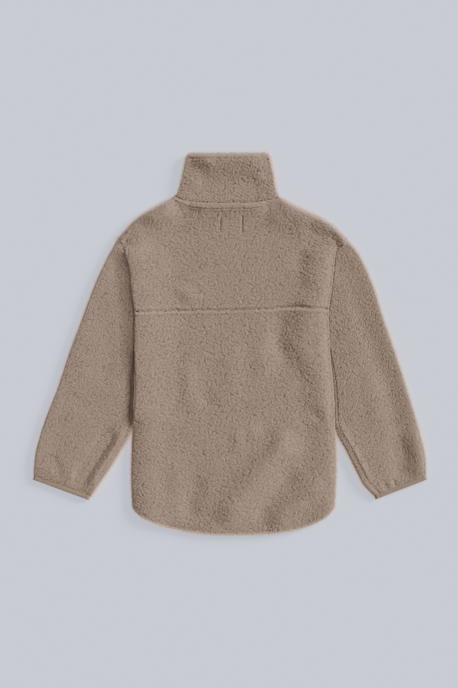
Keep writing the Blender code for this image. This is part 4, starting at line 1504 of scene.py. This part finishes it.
@dataclass
class CuffBinding:
    """The smooth tape that binds a cuff's edge, with its row of stitches."""

    form: SleeveForm
    finish: Material
    thread: Material
    width: float = 0.0105
    wall: float = 0.0026
    height: float = 0.0112
    inset: float = 0.0016
    crown: float = 0.0008
    wave: float = 0.0004
    shares: tuple[float, ...] = (0.0, 0.03, 0.08, 0.16, 0.3, 0.45, 0.6, 0.75, 0.86, 0.93, 0.975, 1.0)
    stitch: float = 0.0026
    pitch: float = 0.0034
    thread_radius: float = 0.00028
    thread_in: float = 0.0021

    def frame_lines(self) -> tuple[Array, Array, Array, float]:
        """The cuff's start, its directions across and down the arm, and its length."""
        outer_x, outer_y, inner_x, inner_y = self.form.rows[-1][1:5]
        length = float(np.hypot(inner_x - outer_x, inner_y - outer_y))
        across = np.array([inner_x - outer_x, inner_y - outer_y]) / length
        down = np.array([across[1], -across[0]]) * (1 if across[0] > 0 else -1)
        start = np.array([outer_x, outer_y]) + self.inset * across
        return start, across, down, length - 2 * self.inset

    def ring(self, lift: float = 0.0) -> tuple[Array, Array]:
        """Distances from the outer fold and heights, once round from the underarm seam."""
        *_, length = self.frame_lines()
        radius = self.height / 2
        turns = np.linspace(np.pi / 2, -np.pi / 2, 14)
        seam, gap = self.form.seam_in - self.inset, self.form.body.gap / 2
        reach = radius + lift
        over = np.linspace(length - seam - gap, radius, 90)[:-1]
        under = np.linspace(radius, length - radius, 30)[1:-1]
        back = np.linspace(length - radius, length - seam + gap, 6)[1:]
        far = [over, radius - reach * np.cos(turns), under, length - radius + reach * np.cos(turns), back]
        up = [
            np.full(len(over), radius + reach),
            radius + reach * np.sin(turns),
            np.full(len(under), radius - reach),
            radius - reach * np.sin(turns),
            np.full(len(back), radius + reach),
        ]
        return np.concatenate(far), np.concatenate(up)

    def build(self) -> Piece:
        """The tape, and its stitches as a second piece."""
        form, side = self.form, self.form.side
        start, across, down, _ = self.frame_lines()
        far, up = self.ring()
        wander = self.wave * drift(far, 0 * far, 0.03, 70 + side.value)
        rows = []
        for share in self.shares:
            rise = self.crown * (1 - (2 * share - 1) ** 2)
            spot = start + down * (form.body.gap + share * self.width)
            flat = np.clip((up - self.height / 2) / (self.height / 2), -1, 1)
            level = np.maximum(up + rise * np.clip(flat, 0, 1) + wander * (flat > 0.5), 0.0003)
            rows.append(np.column_stack([spot + far[:, None] * across, level]))
        looks = {"pile": None, "coarse": 1, "last": Edge.FREE}
        shell = Shell(side.word + "_cuff_binding", np.stack(rows), self.wall, turned=side is Side.RIGHT, **looks)
        piece = shell.build(self.finish)
        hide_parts("cuff_tape_" + side.word)
        stitches = self.sew()
        return piece

    def sew(self) -> Piece:
        """A row of stitches round the tape, near its upper edge."""
        form, side = self.form, self.form.side
        start, across, down, _ = self.frame_lines()
        far, up = self.ring(0.0006)
        spot = start + down * (form.body.gap + self.thread_in)
        line = np.column_stack([spot + far[:, None] * across, up + 0.0001])
        line[:, 2] = np.maximum(line[:, 2], ON_FLOOR)
        name = side.word + "_cuff_stitches"
        piece = stitch_row(name, line, self.stitch, self.pitch, self.thread_radius, self.thread)
        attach(piece, BODY)
        return piece


def stitch_row(name: str, line: Array, length: float, pitch: float, radius: float, finish: Material) -> Piece:
    """A row of short threads along a line, each sunk at both ends.

    Args:
        name: the piece's name.
        line: the points that the row follows.
        length: one stitch's length.
        pitch: from one stitch's start to the next one's.
        radius: the thread's radius.
        finish: the thread's material.

    Returns:
        The new object, all the stitches in one mesh.
    """
    before = added_up(np.linalg.norm(np.diff(line, axis=0), axis=1))
    starts = np.arange(pitch / 2, before[-1] - length, pitch)
    rings, sides = 5, 6
    points, faces = [], []
    for start in starts:
        places = start + np.linspace(0, 1, rings) * length
        middle = np.stack([np.interp(places, before, line[:, k]) for k in range(3)], axis=1)
        ahead = middle[-1] - middle[0]
        ahead /= np.linalg.norm(ahead)
        beside = np.cross(ahead, [0, 0, 1.0])
        beside /= max(np.linalg.norm(beside), 1e-9)
        above = np.cross(beside, ahead)
        first = len(points)
        for spot, share in zip(middle, np.linspace(0, 1, rings)):
            thick = radius * (0.45 + 0.55 * np.sin(np.pi * share) ** 0.5)
            sunk = spot - above * radius * 1.6 * (2 * share - 1) ** 2
            for k in range(sides):
                turn = 2 * np.pi * k / sides
                point = sunk + thick * (np.cos(turn) * beside + np.sin(turn) * above)
                points.append([point[0], point[1], max(point[2], 0.0001)])
        for ring in range(rings - 1):
            for k in range(sides):
                a, b = first + ring * sides + k, first + ring * sides + (k + 1) % sides
                faces.append([a, b, b + sides, a + sides])
        faces.append([first + k for k in reversed(range(sides))])
        faces.append([first + (rings - 1) * sides + k for k in range(sides)])
    return link(new_mesh(name, points, faces), name, finish)


# --- The zip ---


@dataclass
class Zip:
    """The closed zip between the fronts: two tapes, its teeth, the slider and its cloth pull."""

    form: BodyForm
    tape_finish: Material
    metal_finish: Material
    teeth_finish: Material
    tape: float = 0.0049
    tape_z: float = 0.0030
    tape_wall: float = 0.0014
    pitch: float = 0.0026
    tooth: tuple[float, float, float] = (0.0026, 0.0014, 0.0014)
    tooth_aside: float = 0.0007
    tooth_down: float = 0.0004
    foot_up: float = 0.0120
    top_drop: float = 0.0400
    slider: tuple[float, float, float] = (0.0085, 0.0110, 0.0042)
    pull: tuple[float, float, float] = (0.0060, 0.0260, 0.0013)
    lift: float = 0.0004

    def ends(self) -> tuple[float, float]:
        """The y of the zip's lower end and of the slider's lower edge."""
        foot = float(self.form.front_hem(np.array(self.form.centre_front[0][1])))
        return foot + self.foot_up, self.form.collar_top - self.top_drop - self.slider[1] - self.form.gap

    def tapes(self) -> Piece:
        """Both tapes as one closed strip, pressed up a little along the teeth."""
        low, high = self.ends()
        y = np.linspace(low, high - self.form.gap, 260)[:, None]
        offsets = np.array([-1, -0.97, -0.85, -0.7, -0.55, -0.5, -0.25, 0, 0.25, 0.5, 0.55, 0.7, 0.85, 0.97, 1])
        x = self.form.zip_line(y) + offsets * self.tape
        z = self.tape_z + 0.0004 * (np.abs(offsets) < 0.52) + 0.00015 * drift(y, 0 * y, 0.02, 81) + 0 * x
        points = np.stack([x, y + 0 * x, z], axis=-1)
        shell = Shell("zip_tapes", points, self.tape_wall, pile=None, turned=True, coarse=1)
        piece = shell.build(self.tape_finish)
        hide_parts("zip")
        return piece

    def teeth(self) -> Piece:
        """The teeth, whose heads lie one after another from the left and the right."""
        low, high = self.ends()
        wide, long, deep = self.tooth
        block = 0.5 * np.array([[sx, sy, sz] for sx in (-1, 1) for sy in (-1, 1) for sz in (-1, 1)])
        block[:, :2] *= np.where(block[:, 2:] < 0, 0.8, 1.0)
        sides = [[0, 1, 3, 2], [4, 6, 7, 5], [0, 4, 5, 1], [2, 3, 7, 6], [0, 2, 6, 4], [1, 5, 7, 3]]
        points, faces = [], []
        for k, y in enumerate(np.arange(low + 0.002, high - 0.002, self.pitch / 2)):
            way = 1 if k % 2 else -1
            middle = float(self.form.zip_line(y)) + way * self.tooth_aside
            spot = np.array([middle, y, self.tape_z - self.tooth_down])
            first = len(points)
            points.extend(tuple(p) for p in block * (wide, 0.8 * long, deep) + spot)
            faces.extend([first + v for v in face] for face in sides)
        return link(new_mesh("zip_teeth", points, faces), "zip_teeth", self.teeth_finish, smooth=False)

    def slider_body(self) -> Piece:
        """The slider: two waisted plates and a neck between them."""
        low = self.ends()[1]
        centre = (float(self.form.zip_line(self.form.collar_top)), low + self.slider[1] / 2)
        turns = np.linspace(0, 2 * np.pi, 28, endpoint=False)
        outline = [(np.cos(a) * (0.5 - 0.09 * np.sin(a) ** 2), np.sin(a) * 0.5) for a in turns]
        points, faces = [], []
        thick = self.slider[2] * 0.26
        for level in (self.lift + thick / 2, self.lift + self.slider[2] - thick / 2):
            self._plate(points, faces, outline, centre, level, thick)
        neck = [(0.28 * px, 0.22 * py + 0.32) for px, py in outline]
        self._plate(points, faces, neck, centre, self.lift + self.slider[2] / 2, self.slider[2] * 0.7)
        piece = link(new_mesh("slider_body", points, faces), "slider_body", self.metal_finish, smooth=False)
        bevel = piece.modifiers.new("rounding", "BEVEL")
        bevel.width, bevel.segments = 0.0003, 2
        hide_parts("zip_slider")
        return piece

    def _plate(
        self,
        points: list[tuple[float, float, float]],
        faces: list[list[int]],
        outline: list[tuple[float, float]],
        centre: tuple[float, float],
        level: float,
        thick: float,
    ) -> None:
        """Adds a flat plate of that outline, a share of the slider's size, round a level."""
        first, count = len(points), len(outline)
        for z in (level - thick / 2, level + thick / 2):
            points.extend((centre[0] + px * self.slider[0], centre[1] + py * self.slider[1], z) for px, py in outline)
        faces.append([first + k for k in reversed(range(count))])
        faces.append([first + count + k for k in range(count)])
        for k in range(count):
            after = (k + 1) % count
            faces.append([first + k, first + after, first + count + after, first + count + k])

    def pull_tape(self) -> Piece:
        """The pull: tape pressed flat, pinched across near its end."""
        high = self.ends()[1] - self.form.gap
        middle = float(self.form.zip_line(self.form.collar_top))
        y = np.linspace(high - self.pull[1], high, 40)[:, None]
        offsets = np.array([-1, -0.9, -0.7, -0.35, 0, 0.35, 0.7, 0.9, 1]) * self.pull[0] / 2
        ends = np.minimum(y - y[0], y[-1] - y) / 0.002
        narrow = 1 - 0.25 * (1 - np.clip(ends, 0, 1)) ** 2
        pinch = 0.0003 * np.exp(-(((y - y[0] - 0.005) / 0.0006) ** 2))
        x = middle + offsets * narrow
        z = self.lift + 0.0002 * (offsets / self.pull[0]) ** 2 + pinch + 0 * x
        points = np.stack([x, y + 0 * x, z], axis=-1)
        free = Edge.FREE
        shell = Shell("pull_tape", points, self.pull[2], free, free, free, pile=None, turned=True, coarse=1)
        piece = shell.build(self.tape_finish)
        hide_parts("zip_pull")
        return piece


# --- The studio ---


@dataclass
class Studio:
    """A plain pale floor, soft light from the upper right and a camera straight above."""

    frame_height: float = 1.5136
    lens: float = 85.0
    sensor: float = 36.0
    cloth_level: float = 0.0136
    aside: float = -0.0022
    sun_height: float = 24.0
    sun_from: float = 27.0
    sun_spread: float = 24.0
    sun_strength: float = 5.3
    sky: tuple[float, float, float] = (0.96, 0.98, 1.02)
    sky_strength: float = 0.29
    fill_height: float = 6.0
    fill_from: float = 184.0
    fill_spread: float = 44.0
    fill_strength: float = 0.7
    floor_colour: tuple[float, float, float] = (0.512, 0.552, 0.688)
    floor_glow: float = 1.20
    floor_half: float = 40.0

    def camera(self) -> None:
        """The camera, whose view is the photograph's, with the collar upwards."""
        data = bpy.data.cameras.new("camera")
        data.lens, data.sensor_width = self.lens, self.sensor
        distance = self.frame_height * self.lens / self.sensor
        camera = bpy.data.objects.new("camera", data)
        camera.location = (self.aside, 0.0, distance + self.cloth_level)
        bpy.context.scene.collection.objects.link(camera)
        bpy.context.scene.camera = camera

    def floor(self) -> None:
        """The surface that the jacket lies on."""
        colour, half = (*self.floor_colour, 1.0), self.floor_half
        looks = {"base_color": colour, "emission_color": colour, "emission_strength": self.floor_glow}
        nodes = Nodes("pale_floor", roughness=0.9, specular_ior_level=0.1, **looks)
        corners = [(-half, -half, 0), (half, -half, 0), (half, half, 0), (-half, half, 0)]
        mesh = new_mesh("floor", corners, [[0, 1, 2, 3]])
        link(mesh, "floor", nodes.material, smooth=False)

    def light(self) -> None:
        """A broad sun, a weak low one that fills the far sides, and a pale sky."""
        lights = (
            ("window", self.sun_strength, self.sun_spread, self.sun_height, self.sun_from),
            ("fill", self.fill_strength, self.fill_spread, self.fill_height, self.fill_from),
        )
        for name, strength, spread, height, azimuth in lights:
            sun = bpy.data.lights.new(name, "SUN")
            sun.energy, sun.angle = strength, np.radians(spread)
            lamp = bpy.data.objects.new(name, sun)
            lamp.rotation_mode = "XYZ"
            lamp.rotation_euler = (0.0, np.radians(90 - height), np.radians(azimuth))
            bpy.context.scene.collection.objects.link(lamp)
        world = bpy.data.worlds.new("studio")
        world.use_nodes = True
        background = world.node_tree.nodes["Background"]
        background.inputs["Color"].default_value = (*self.sky, 1.0)
        background.inputs["Strength"].default_value = self.sky_strength
        bpy.context.scene.world = world

    def build(self) -> None:
        """Everything that isn't the jacket."""
        self.camera()
        self.floor()
        self.light()


def main() -> None:
    """Builds the pieces in order, dresses them and sets the stage."""
    logging.basicConfig(level=logging.INFO, format="%(message)s")
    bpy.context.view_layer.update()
    Studio().build()
    fleece = PileFinish().make()
    binding = TapeFinish("cuff_tape", (0.360, 0.250, 0.172)).make()
    thread = TapeFinish("thread", (0.330, 0.255, 0.205), 2400.0).make()
    zip_tape = TapeFinish("zip_tape", (0.190, 0.150, 0.120)).make()
    zip_teeth = TapeFinish("zip_teeth", (0.150, 0.118, 0.094), 300.0).make()
    metal = MetalFinish().make()
    body = BodyForm()
    back, fronts = Back(body, fleece), Fronts(body, fleece)
    fleece_pieces = [fronts.build(side) for side in Side]
    fleece_pieces += [back.lower(), back.yoke(), Collar(body, fleece).build()]
    others = []
    for side in Side:
        sleeve = SleeveForm(side, body)
        fleece_pieces.append(Sleeve(sleeve, fleece).build())
        others.append(CuffBinding(sleeve, binding, thread).build())
    closing = Zip(body, zip_tape, metal, zip_teeth)
    tapes = closing.tapes()
    teeth = closing.teeth()
    pull = closing.pull_tape()
    others += [tapes, teeth, closing.slider_body(), pull]
    for piece in fleece_pieces + others:
        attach(piece, BODY)
        LOG.info("%s: %d faces", piece.name, len(piece.data.polygons))


if __name__ == "__main__":
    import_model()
    main()
